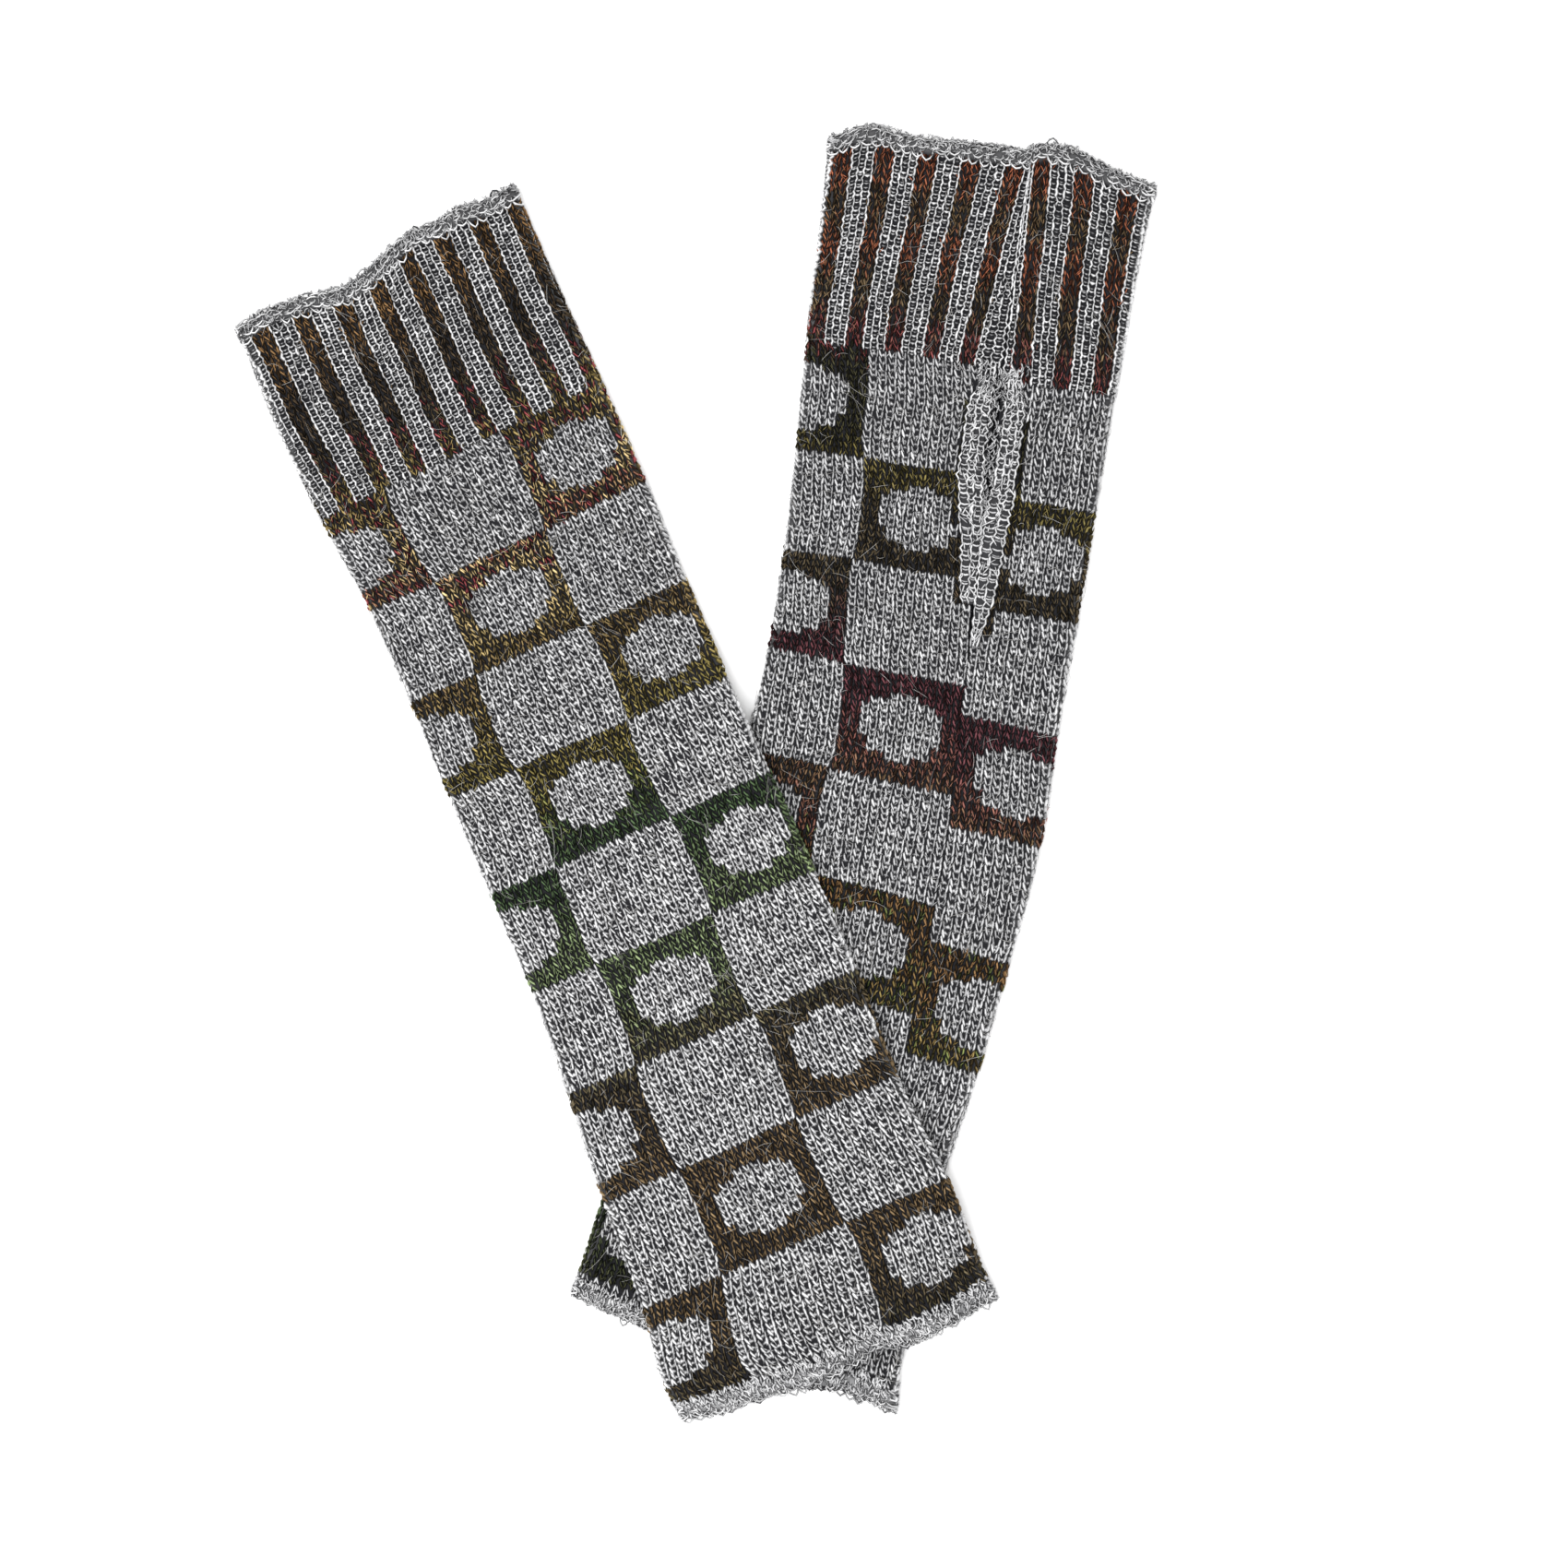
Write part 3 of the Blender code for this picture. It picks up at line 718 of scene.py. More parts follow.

# %% [markdown]
# ## The ribbed cuff
#
# Dyed ribs of two plump stitches lie in the valleys, and grey ribs stand up between them. A grey
# rib is stretched so far that it reads as a ladder: two to four waving threads run down it, by
# its width, and short rungs cross between them. The holes are round, with a dim strand deep in
# each, dimmed with painted shade.

# %% Ribs of the cuff
RIBS = 16
RIB_PITCH = WALES / RIBS
RIB_HALF = 0.90         # half the width of a dyed rib, in stitches
RIB_RISE = 0.3          # mm that the grey ribs stand up
RIB_SIDES = (0.03, 0.97)                # its outer threads, as shares of a grey rib's width
LADDERS = ((2, 0.25, 1.0), (3, 1.0, 1.8), (4, 1.8, 9.0))    # threads, for widths from and to
THREAD_REACH, THREAD_START = 1.36, -0.18                    # threads overlap from row to row


def rib_middles(warmer):
    """Middles of the dyed ribs, in stitches from the seam."""
    first = 1.5 if warmer is lower else 0.9
    return first + RIB_PITCH * np.arange(RIBS)


def add_threads(strands, start, end, rows, rng, threads):
    """The upright threads of a grey rib from start to end, waving round its holes."""
    t, count = steps(5), len(rows)
    down = THREAD_REACH * t + THREAD_START
    for number, share in enumerate(np.linspace(*RIB_SIDES, threads)):
        wave = (-0.07 if number % 2 else 0.07) * np.cos(2 * math.pi * down)
        wave = wave * rng.uniform(0.2, 1.4, (count, 1))
        across = start + (end - start) * share + wave + sway(rng, count, 0.04)
        tone = tones(rng, count, 0.56, 0.2)
        half = 0.35 * (1.0 + sway(rng, count, 0.2))
        strands.add(across, rows[:, None] + down, half, RIB_RISE - 0.2, RIB_RISE + 0.3, tone)


def add_rungs(strands, start, end, rows, rng, threads):
    """Rungs between the threads of a rib, and the strands seen through its holes, dim with painted
    shade.
    """
    t, count = steps(3), len(rows)
    spots = start + (end - start) * np.linspace(*RIB_SIDES, threads)
    past = (end - start) * 0.06
    for number in range(threads - 1):
        first, last = spots[number] - past, spots[number + 1] + past
        across = np.repeat(first + (last - first) * t, count, 0)
        bow = 0.5 * (number % 2) + 0.16 * np.sin(math.pi * t)
        down = rows[:, None] + bow + sway(rng, count, 0.09)
        tone = tones(rng, count, 0.5, 0.2)
        half = 0.36 * (1.0 + sway(rng, count, 0.25))
        strands.add(across, down, half, RIB_RISE - 0.35, RIB_RISE + 0.16, tone)
        # the strands deep in the holes get a low tone: painted shade
        tone = tones(rng, count, 0.04, 0.18, -0.2, 0.5)
        low = down + 0.5 + sway(rng, count, 0.1)
        strands.add(across, low, 0.45, RIB_RISE - 0.75, RIB_RISE - 0.35, tone)


def knit_cuff(warmer, seed):
    """The ribs of a cuff. How many threads a grey rib has goes by its width in each row."""
    rng = np.random.default_rng(seed)
    rows = np.arange(-RIB_ROWS, 0).astype(float)
    middles = rib_middles(warmer)
    grey, rungs, dyed = Strands(warmer), Strands(warmer), Strands(warmer)
    ones = np.ones(len(rows))
    starts = np.concatenate([[0.1], middles + RIB_HALF])
    ends = np.concatenate([middles - RIB_HALF, [WALES - 0.1]])
    for start, end in zip(starts, ends):
        wide = end + warmer.lean(end * ones, rows) - start - warmer.lean(start * ones, rows)
        for threads, low, high in LADDERS:
            fits = (wide >= low) & (wide < high)
            if fits.any():
                add_threads(grey, start, end, rows[fits], rng, threads)
                add_rungs(rungs, start, end, rows[fits], rng, threads)
    for middle in middles:
        for side in (-0.97, -0.03):
            wale = np.full(len(rows), middle + side)
            add_legs(dyed, wale, rows, 4, RIB_LEGS, rng)
            seen = under_side(warmer.turn(wale, rows, warmer.row_place(wale, rows))) < 0.5
            each = 3 if seen.mean() > 0.2 else 1
            add_fibres(dyed, np.repeat(wale, each), np.repeat(rows, each), rng)
    return [grey.build(f"{warmer.name}_cuff_grey_ribs", seed),
            rungs.build(f"{warmer.name}_cuff_rungs", seed),
            dyed.build(f"{warmer.name}_cuff_dyed_ribs", seed)]


lower_cuff, upper_cuff = knit_cuff(lower, 31), knit_cuff(upper, 37)

# %% [markdown]
# ## Rolled edges
#
# Plain knitting curls at its cast-on edge and shows its back: one small bright arch for each
# stitch, with the tangled backs of two or three more rows above it. At the very edge a tuft of
# short ends sticks out of each stitch. The hem ends in open loops that make a scalloped line, over
# a few last rows of Vs. Both are made as arches of yarn in rows, with a felt of short curved
# strands behind.

# %% Places near a free edge
# how high the cloth stands, in mm, at shares of the way in from the free edge
EDGE_ROLL = ((0.0, -0.5), (0.15, 0.5), (0.5, 1.2), (0.85, 0.8), (1.0, 0.3))
HEM_ROLL = ((0.0, -0.4), (0.2, 0.3), (0.6, 0.8), (1.0, 0.2))
# rows of arches: share of the way in, bow, half width, height, tone, shift in stitches, slope
CUFF_ARCHES = ((0.80, 1.5, 0.30, 0.45, 0.85, 0.0, 0.7), (0.54, 1.1, 0.28, 0.3, 0.60, 0.5, -0.6),
               (0.34, -0.8, 0.25, 0.3, 0.38, 0.0, 0.0), (0.12, -0.9, 0.25, 0.2, 0.44, 0.5, 0.0))
HEM_ARCHES = ((0.55, 1.5, 0.26, 0.45, 0.5, 0.0, 0.0), (0.25, 1.2, 0.26, 0.4, 0.55, 0.5, 0.0),
              (0.28, 1.5, 0.25, 0.1, 0.45, 0.0, 0.0))


def edge_place(warmer, wale, share, hem):
    """Place along, place round and rise near a free edge: share 0 is the edge, 1 the last row."""
    near_row = BODY_ROWS + warmer.hem_rows if hem else -RIB_ROWS
    inner = warmer.row_place(wale, 0.0 * wale + near_row)
    turn = warmer.turn(wale, 0.0 * wale + near_row, inner)
    free = warmer.free_edge(turn, hem)
    depth = -CURL if hem else inner - free
    rise = read_rows(HEM_ROLL if hem else EDGE_ROLL, share) * (1.0 - under_side(turn))
    return free + depth * share, turn, rise


def in_panel(wale):
    return wale.clip(0.05, WALES - 0.05)


def add_arches(strands, rows, rng, hem=False):
    """Rows of arches, one to a stitch. A bow above 0 points to the hem, below 0 to the cuff."""
    t, count = steps(5), WALES - 1
    for share, bow, half, high, bright, shift, slope in rows:
        wale = np.arange(count)[:, None] + shift + sway(rng, count, 0.1)
        spread = 1.25 + sway(rng, count, 0.15)
        across = in_panel(wale + 0.5 + spread * (t - 0.5))
        along, turn, rise = edge_place(strands.warmer, across, share + 0.0 * across, hem)
        bend = bow * (1.0 + sway(rng, count, 0.45))
        along = along + bend * np.sin(math.pi * t) + sway(rng, count, 0.25)
        along = along + slope * (t - 0.5)
        rise = rise + sway(rng, count, 0.12)
        tone = tones(rng, count, bright, 0.24)
        strands.add_at(along, turn, half, rise - 0.3, rise + high, tone)


def add_felt(strands, count, low, high, length, rng, hem=False, lean=1.2, tone=0.28, thick=1.0,
             clump=0.0):
    """Short curved strands between two shares of the way in from the free edge.

    They lie at random, or with clump near 1 gather in one tuft to a stitch.
    """
    t = steps(5)
    wale = rng.uniform(0.3, WALES - 0.3, (count, 1))
    wale = wale + (np.floor(wale) + 0.5 - wale) * clump
    angle = rng.normal(0.0, lean, (count, 1))
    size = length * rng.uniform(0.6, 1.4, (count, 1))
    heading = angle + rng.normal(0.0, 1.0, (count, 1)) * (t - 0.5)
    across = in_panel(wale + np.sin(heading) * size * (t - 0.5) / STITCH_WIDE)
    share = rng.uniform(low, high, (count, 1)) + 0.0 * t
    along, turn, rise = edge_place(strands.warmer, across, share, hem)
    along = along + np.cos(heading) * size * (t - 0.5)
    rise = rise + rng.uniform(-0.25, 0.25, (count, 1))
    half = thick * rng.uniform(0.17, 0.3, (count, 1))
    strands.add_at(along, turn, half, rise - 0.2, rise + 0.18, tones(rng, count, tone, 0.18))


# %% Curled edge of the cuff, and looped hem
def roll_cuff_edge(warmer, seed):
    """Felt, tufts past the edge, and rows of arches."""
    rng = np.random.default_rng(seed)
    strands = Strands(warmer)
    add_felt(strands, 900, 0.05, 0.98, 1.9, rng)
    add_felt(strands, 420, -0.16, 0.14, 1.6, rng, lean=0.5, tone=0.42, clump=0.75)
    add_arches(strands, CUFF_ARCHES, rng)
    return strands.build(f"{warmer.name}_cuff_roll", seed)


def knit_hem(warmer, seed):
    """A few last rows of Vs, then loops that hang over the edge."""
    rng = np.random.default_rng(seed)
    strands = Strands(warmer)
    rows = np.arange(BODY_ROWS, BODY_ROWS + warmer.hem_rows).astype(float)
    wale, row = (part.ravel() for part in np.meshgrid(np.arange(WALES).astype(float), rows))
    add_legs(strands, wale, row, 5, HEM_LEGS, rng)
    add_felt(strands, 1500, 0.05, 1.5, 2.2, rng, True, lean=0.5, tone=0.34, thick=1.6)
    add_arches(strands, HEM_ARCHES, rng, True)
    return strands.build(f"{warmer.name}_hem_loops", seed)


lower_edges = [roll_cuff_edge(lower, 41), knit_hem(lower, 43)]
upper_edges = [roll_cuff_edge(upper, 47), knit_hem(upper, 53)]

# %% [markdown]
# ## The thumb slit
#
# The slit is a stretch of the lower warmer's seam left open. A border of grey ladder ribs is
# knitted along each side and stands up as a soft welt, so it is laid on an arched surface, with
# stray wisps over it. The two borders part near the cuff, where dim loops of the inside show
# between them and a tangle joins them to the cuff, and they meet lower down.

# %% Shape of the slit's borders
def border_lift(way):
    """The arched surface of one border, as a height to add to its strands."""
    def lift(along, turn):
        share = border_share(way, along)
        reach = (turn - lower.seam(along)) * way * lower.around(along)
        out = (reach - inner_edge(along)) / (outer_edge(way, along) - inner_edge(along))
        taper = np.clip(4.0 * np.minimum(share + 0.05, 1.0 - share), 0.0, 1.0)
        return GAP + read_rows(BORDER_ARCH, out) * BORDER_HEIGHT * (0.3 + 0.7 * taper)
    return lift


def border_turn(way, along, out):
    """Place round the tube at a share of a border's width."""
    reach = inner_edge(along) * (1.0 - out) + outer_edge(way, along) * out
    return lower.seam(along) + way * reach / lower.around(along)


# %% Ladder ribs of the borders
BORDER_ROW = 2.6        # mm
BORDER_SIDES = (0.02, 0.98)             # outer threads, as shares of a border's width
BORDER_THIRDS = (0.34, 0.66)            # inner threads, until they merge
BORDER_MIDDLE = 0.48
MERGE_START, MERGE_LENGTH = 82.0, 12.0
# the second row is the strands deep in the holes, nearly black with painted shade
BORDER_RUNGS = ((0.0, 0.40, -0.2, 0.44), (0.45, 0.5, -0.5, -0.02))  # shift, half, height, tone
BORDER_STRAYS = 70


def border_threads(strands, way, start, spots, apart, rng):
    """Waving threads down a border, at spots across it. The third ends where it isn't apart."""
    t, count = steps(5), len(start)
    down = THREAD_REACH * t + THREAD_START
    for number, spot in enumerate(spots):
        ahead = np.append(spot[1:], spot[-1])
        wave = (-0.045 if number % 2 else 0.045) * np.cos(2 * math.pi * down)
        wave = wave * rng.uniform(0.3, 1.8, (count, 1))
        out = spot[:, None] + (ahead - spot)[:, None] * t + wave + sway(rng, count, 0.03)
        along = start[:, None] + BORDER_ROW * down + sway(rng, count, 0.2)
        tone = tones(rng, count, 0.55, 0.2)
        half = 0.38 * (1.0 + sway(rng, count, 0.2))
        keep = apart | (number != 2)
        strands.add_at(along, border_turn(way, along, out), half, -0.2, 0.38, tone, keep=keep)


def border_rungs(strands, way, start, spots, rng):
    """Rungs between neighbouring threads, and the strands in the holes between them, dim with
    painted shade.
    """
    t, count = steps(5), len(start)
    for number in range(3):
        wide = spots[number + 1] - spots[number]
        out = spots[number][:, None] + wide[:, None] * (1.2 * t - 0.1)
        for shift, half, low, pale in BORDER_RUNGS:
            down = shift + 0.5 * (number % 2) + 0.2 * np.sin(math.pi * t)
            along = start[:, None] + BORDER_ROW * (down + sway(rng, count, 0.12))
            tone = tones(rng, count, pale, 0.2, -0.1)
            strands.add_at(along, border_turn(way, along, out), half, low, low + 0.42, tone,
                           keep=wide > 0.05)


def knit_border(name, way, seed):
    """Four threads, the rungs between them and stray wisps. The two inner threads merge."""
    rng = np.random.default_rng(seed)
    strands = Strands(lower, border_lift(way))
    start = np.arange(BORDER_START - 4.5, BORDERS[way][0] - 0.5, BORDER_ROW)
    merge = smooth_step((start - MERGE_START) / MERGE_LENGTH)
    left, right = (side + 0.0 * merge for side in BORDER_SIDES)
    inner = [third + (BORDER_MIDDLE - third) * merge for third in BORDER_THIRDS]
    spots = [left, *inner, right]
    border_threads(strands, way, start, spots, merge < 0.95, rng)
    border_rungs(strands, way, start, spots, rng)
    along = rng.uniform(start[0], start[-1], (BORDER_STRAYS, 1)) + 2.4 * steps(5)
    out = rng.uniform(0.05, 0.95, (BORDER_STRAYS, 1))
    out = out + sway(rng, BORDER_STRAYS, 0.3) * (steps(5) - 0.5)
    tone = tones(rng, BORDER_STRAYS, 0.4, 0.2)
    strands.add_at(along, border_turn(way, along, out), 0.26, 0.0, 0.45, tone)
    return strands.build(name, seed)


# loose loops: from and to in mm down the warmer, reach past the borders' inner sides, heights
SLIT_LOOPS = ((52.0, 98.0, 0.5, -0.2, 0.7), (50.0, 62.0, 4.5, 0.5, 1.3))


def loops_in_slit(seed):
    """Loose loops of the inside between the two borders, and a tangle where they join the cuff."""
    rng = np.random.default_rng(seed)
    strands = Strands(lower)
    t = steps(5)
    for first, last, beyond, low, high in SLIT_LOOPS:
        start = np.repeat(np.arange(first, last, 1.6), 9)[:, None]
        along = start + rng.uniform(-0.6, 0.6, start.shape) + 2.2 * t
        reach = (inner_edge(along) + beyond) * rng.uniform(-1.0, 1.0, start.shape)
        reach = reach + rng.normal(0.0, 1.2, start.shape) * (t - 0.5) + 0.5 * np.sin(math.pi * t)
        turn = lower.seam(along) + reach / lower.around(along)
        rise = rng.uniform(low, high, start.shape)
        tone = rng.uniform(-0.1, 0.6, len(start))
        strands.add_at(along, turn, 0.27, rise - 0.3, rise + 0.2, tone)
    return strands.build("slit_loose_loops", seed)


borders = [knit_border("slit_border_a_ribs", -1.0, 61), knit_border("slit_border_b_ribs", 1.0, 67)]
slit_loops = loops_in_slit(69)

# %% [markdown]
# ## The cloth behind the stitches
#
# Between the threads the inside of the cloth shows, soft and dark with painted shade. One thin
# wall for each warmer lies just under the stitches, from rolled edge to hem, open along the seam.
# It is made from the same surface, as two grids of points joined at their borders. Its painted
# shade is lightest where it can be seen from the side: at the two free edges and round the folds.

# %% A closed wall between two grids of points
def wall_piece(name, outer, inner, tone):
    """outer and inner are grids (sections, places, xyz) of a wall's two faces, and tone is the
    value at each of their points.
    """
    sections, places = outer.shape[:2]
    count = sections * places
    index = np.arange(count).reshape(sections, places)
    a, b, c, d = index[:-1, :-1], index[:-1, 1:], index[1:, 1:], index[1:, :-1]
    faces = [np.stack([a, b, c, d], -1).reshape(-1, 4),
             np.stack([a, d, c, b], -1).reshape(-1, 4) + count]
    for line in (index[:, 0][::-1], index[:, -1], index[0], index[-1][::-1]):
        near, far = line[:-1], line[1:]
        faces.append(np.stack([far, near, near + count, far + count], -1))
    faces = np.concatenate(faces)
    across = np.linspace(0.01, 0.99, places)[None] + np.zeros((sections, 1))
    down = np.linspace(0.005, 0.485, sections)[:, None] + np.zeros((1, places))
    cells = np.concatenate([np.stack([across, down], -1).reshape(-1, 2),
                            np.stack([across, down + 0.505], -1).reshape(-1, 2)])
    points = np.concatenate([outer.reshape(-1, 3), inner.reshape(-1, 3)])
    starts = np.arange(len(faces)) * 4
    mesh = mesh_from(name, points, faces.ravel(), starts, np.full(len(faces), 4),
                     cells[faces.ravel()])
    set_values(mesh, {"tone": np.tile(tone.ravel(), 2)})
    print(name, 2 * len(faces), "triangles")
    return add_object(name, mesh)


# %% The ground cloth of each warmer
SUNK = 0.38             # mm under the wall's face
GROUND_PLACES, GROUND_ROWS = 88, 54
ROLL_SHARES = (0.0, 0.12, 0.35, 0.6, 0.85)
CUFF_SHORT, HEM_SHORT = 0.7, 0.9        # mm that the ground ends short of the free edges


def ground_cloth(warmer):
    """One wall from the curled edge to the hem, a little under the stitches."""
    wale = np.concatenate([[0.0], np.linspace(0.4, WALES - 0.4, GROUND_PLACES), [WALES]])
    cuff = [edge_place(warmer, wale, share + 0.0 * wale, False) for share in ROLL_SHARES]
    hem = [edge_place(warmer, wale, share + 0.0 * wale, True) for share in ROLL_SHARES[::-1]]
    first, last = cuff[-1][0] + 1.2, hem[0][0] - 1.2
    plain = [(first + (last - first) * share, None, 0.0 * wale)
             for share in np.linspace(0.0, 1.0, GROUND_ROWS)]
    along, rise = (np.array([line[part] for line in cuff + plain + hem]) for part in (0, 2))
    along[0] += CUFF_SHORT
    along[-1] -= HEM_SHORT
    turn = warmer.turn(wale + 0.0 * along, np.full(along.shape, BODY_ROWS + 6.0), along)
    outer = warmer.surface(along, turn, rise - SUNK - PRESSED * under_side(turn))
    inner = warmer.surface(along, turn, 0.0, 1.0)
    # painted light and shade: nearly black behind the stitches, paler at the cuff, hem and folds
    tone = np.array([0.2] * len(cuff) + [0.0] * len(plain) + [0.75] * len(hem))
    fold = 0.4 * np.abs(np.cos(round_the_tube(turn)[1]))
    return wall_piece(f"{warmer.name}_ground_cloth", outer, inner, np.maximum(tone[:, None], fold))


lower_ground, upper_ground = ground_cloth(lower), ground_cloth(upper)


# %% The ground of the slit's borders
def border_ground(name, way):
    """A thin wall under one border's ribs, nearly black with painted shade."""
    along = np.linspace(BORDER_START - 2.5, BORDERS[way][0] - 0.4, 30)[:, None]
    out = np.linspace(0.03, 0.97, 9)[None]
    if way < 0:
        out = out[:, ::-1]
    along, out = along + 0.0 * out, out + 0.0 * along
    turn = border_turn(way, along, out)
    rise = border_lift(way)(along, turn) - 0.3
    outer, inner = lower.surface(along, turn, rise), lower.surface(along, turn, -0.1)
    # a low tone keeps it nearly black: painted shade under the ribs
    return wall_piece(name, outer, inner, 0.06 + 0.0 * along)


border_grounds = [border_ground("slit_border_a_ground", -1.0),
                  border_ground("slit_border_b_ground", 1.0)]

# %% [markdown]
# ## Loose hairs
#
# The yarn has mohair in it. Long fine hairs lie over the stitches in slow curves and stick out past
# the outline, which softens every edge. Each is a very thin strand that wanders over the surface.
# Only a few are kept on the layer that faces the table.

# %% Hairs
HAIRS = ((1700, 6.0, 0.038, 0.8), (300, 14.0, 0.036, 1.0))  # count, length, half width, height


def add_hairs(strands, count, length, half, lift, rng):
    """Hairs that start anywhere in the chart and wander a few millimetres; few lie below."""
    t = steps(6)
    wale = rng.uniform(0.5, WALES - 0.5, (count, 1))
    row = rng.uniform(1.0 - RIB_ROWS, BODY_ROWS, (count, 1))
    angle = rng.uniform(0.0, 2 * math.pi, (count, 1))
    bend = rng.normal(0.0, 0.8, (count, 1))
    size = length * rng.uniform(0.4, 1.3, (count, 1))
    heading = angle + bend * (t - 0.5)
    step_x = np.cumsum(np.cos(heading), 1) * size / 6
    step_y = np.cumsum(np.sin(heading), 1) * size / 6
    across = np.clip(wale + step_x / STITCH_WIDE, 0.2, WALES - 0.2)
    down = row + step_y / ROW_HIGH
    rise = 0.15 + lift * rng.uniform(0.2, 1.0, (count, 1)) * np.sin(math.pi * t)
    tone = rng.uniform(0.2, 1.0, count)
    at, at_row = across[:, 2], down[:, 2]
    turn = strands.warmer.turn(at, at_row, strands.warmer.row_place(at, at_row))
    keep = (under_side(turn) < 0.6) | (rng.random(count) < 0.15)
    strands.add(across, down, half, rise - half, rise + half, tone, keep)


def lay_hairs(warmer, seed):
    """A warmer's short and long hairs."""
    rng = np.random.default_rng(seed)
    strands = Strands(warmer)
    for count, length, half, lift in HAIRS:
        add_hairs(strands, count, length, half, lift, rng)
    return strands.build(f"{warmer.name}_hairs", seed)


lower_hairs, upper_hairs = lay_hairs(lower, 71), lay_hairs(upper, 73)

# %% [markdown]
# ## Finishes
#
# A finish is a graph of nodes. Writing it node by node is long, so one small class wraps a socket:
# sums of wires add Math nodes by themselves, and one method makes any other node. All the wool is
# rough and hardly shines. Its colour comes from values that each strand carries: its tone, how
# near a point is to the strand's crest, its place in the self-striping dye, and a random number.
# The crest value is painted light: a painted highlight on each crest, painted shade on the sides.

# %% A class for shader sums
def math_node(operation, reflected=False):
    """A method of Wire that adds a Math node."""
    def method(self, other):
        pair = (other, self) if reflected else (self, other)
        return self.node("ShaderNodeMath", {"operation": operation}, dict(enumerate(pair)))
    return method


class Wire:
    """A socket in a material, usable in sums."""

    def __init__(self, tree, socket=None):
        self.tree, self.socket = tree, socket

    def node(self, kind, settings=None, inputs=None, out=0):
        """Any node: its settings are set first, then the values or wires of its sockets."""
        made = self.tree.nodes.new(kind)
        for key, value in (settings or {}).items():
            if key == "stops":
                self.set_stops(made.color_ramp, value)
            else:
                setattr(made, key, value)
        for key, value in (inputs or {}).items():
            if isinstance(value, Wire):
                self.tree.links.new(value.socket, made.inputs[key])
            else:
                made.inputs[key].default_value = value
        return Wire(self.tree, made.outputs[out])

    @staticmethod
    def set_stops(ramp, stops):
        while len(ramp.elements) < len(stops):
            ramp.elements.new(1.0)
        for element, (place, colour) in zip(ramp.elements, stops):
            element.position, element.color = place, (*colour, 1.0)

    __add__, __radd__ = math_node("ADD"), math_node("ADD", True)
    __sub__, __rsub__ = math_node("SUBTRACT"), math_node("SUBTRACT", True)
    __mul__, __rmul__ = math_node("MULTIPLY"), math_node("MULTIPLY", True)
    above, at_least = math_node("GREATER_THAN"), math_node("MAXIMUM")

    def mixed(self, first, second):
        """Two colours mixed by this wire."""
        colours = {6: first, 7: second, 0: self}
        return self.node("ShaderNodeMix", {"data_type": "RGBA"}, colours, 2)

    def times(self, colour):
        """A colour times this wire, by Vector Math."""
        return self.node("ShaderNodeVectorMath", {"operation": "SCALE"}, {0: colour, 3: self})


def attribute(wire, name):
    return wire.node("ShaderNodeAttribute", {"attribute_name": name}, out=2)


# %% Yarn finishes
FIBRE_SCALE = 2600.0    # fibres in a metre
FIBRE_DEPTH = 0.0002


def rgba(colour):
    return (*colour, 1.0)


def wool(name, colour_of, roughness=0.92, sheen=0.0, bump=0.3):
    """A wool finish whose colour is made by colour_of(wire, fibre)."""
    material = bpy.data.materials.new(name)
    material.use_nodes = True
    tree = material.node_tree
    shader = tree.nodes["Principled BSDF"]
    wire = Wire(tree)
    place = wire.node("ShaderNodeTexCoord", out=3)
    grain = {"Vector": place, "Scale": FIBRE_SCALE, "Detail": 2.0}
    fibre = wire.node("ShaderNodeTexNoise", {}, grain)
    colour = colour_of(wire, fibre)
    tree.links.new(colour.socket, shader.inputs["Base Color"])
    dents = {"Height": fibre, "Strength": bump, "Distance": FIBRE_DEPTH}
    relief = wire.node("ShaderNodeBump", {}, dents)
    tree.links.new(relief.socket, shader.inputs["Normal"])
    rough = roughness - 0.12 + 0.2 * fibre
    tree.links.new(rough.socket, shader.inputs["Roughness"])
    shader.inputs["Sheen Weight"].default_value = sheen
    shader.inputs["Sheen Roughness"].default_value = 0.5
    shader.inputs["Specular IOR Level"].default_value = 0.08
    return material


GREY_DEEP = (0.055, 0.055, 0.059)
GREY_PALE = (0.88, 0.88, 0.885)


def grey_yarn(wire, fibre):
    """From deep to pale grey by each strand's tone and a painted crest highlight, streaked by the
    fibres.
    """
    crest = attribute(wire, "crest")
    # painted highlight towards each crest, painted shade on the sides and tips
    share = (attribute(wire, "tone") - 0.5) * 0.65 + crest * (crest * 0.45 + 0.25)
    return (share + fibre * 0.45 - 0.2).mixed(rgba(GREY_DEEP), rgba(GREY_PALE))


grey_wool = wool("grey_wool", grey_yarn)

# %% [markdown]
# ## The self-striping dye
#
# The dyed yarn changes colour slowly along its length, so the blocks change as the knitting goes
# on. A short list of dye colours and where each begins makes a ramp. Strands take their colour
# from a place moved a little at random, which gives the marled blend where one dye runs into the
# next. Along one stretch of each warmer some strands are flecks of another dye.

# %% Dye colours, and where each one lies along the warmers
DYES = {
    "black_brown": (0.036, 0.025, 0.015),
    "brown": (0.105, 0.060, 0.026),
    "umber": (0.078, 0.053, 0.028),
    "tan": (0.272, 0.206, 0.100),
    "ochre": (0.140, 0.104, 0.040),
    "olive": (0.110, 0.090, 0.030),
    "moss": (0.062, 0.072, 0.024),
    "forest": (0.032, 0.050, 0.024),
    "sage": (0.080, 0.102, 0.052),
    "grey_olive": (0.070, 0.064, 0.036),
    "bark": (0.048, 0.037, 0.022),
    "rust": (0.165, 0.054, 0.028),
    "red_brown": (0.104, 0.042, 0.034),
    "plum": (0.062, 0.022, 0.026),
    "dark_olive": (0.029, 0.027, 0.014),
    "maroon": (0.112, 0.026, 0.028),
}
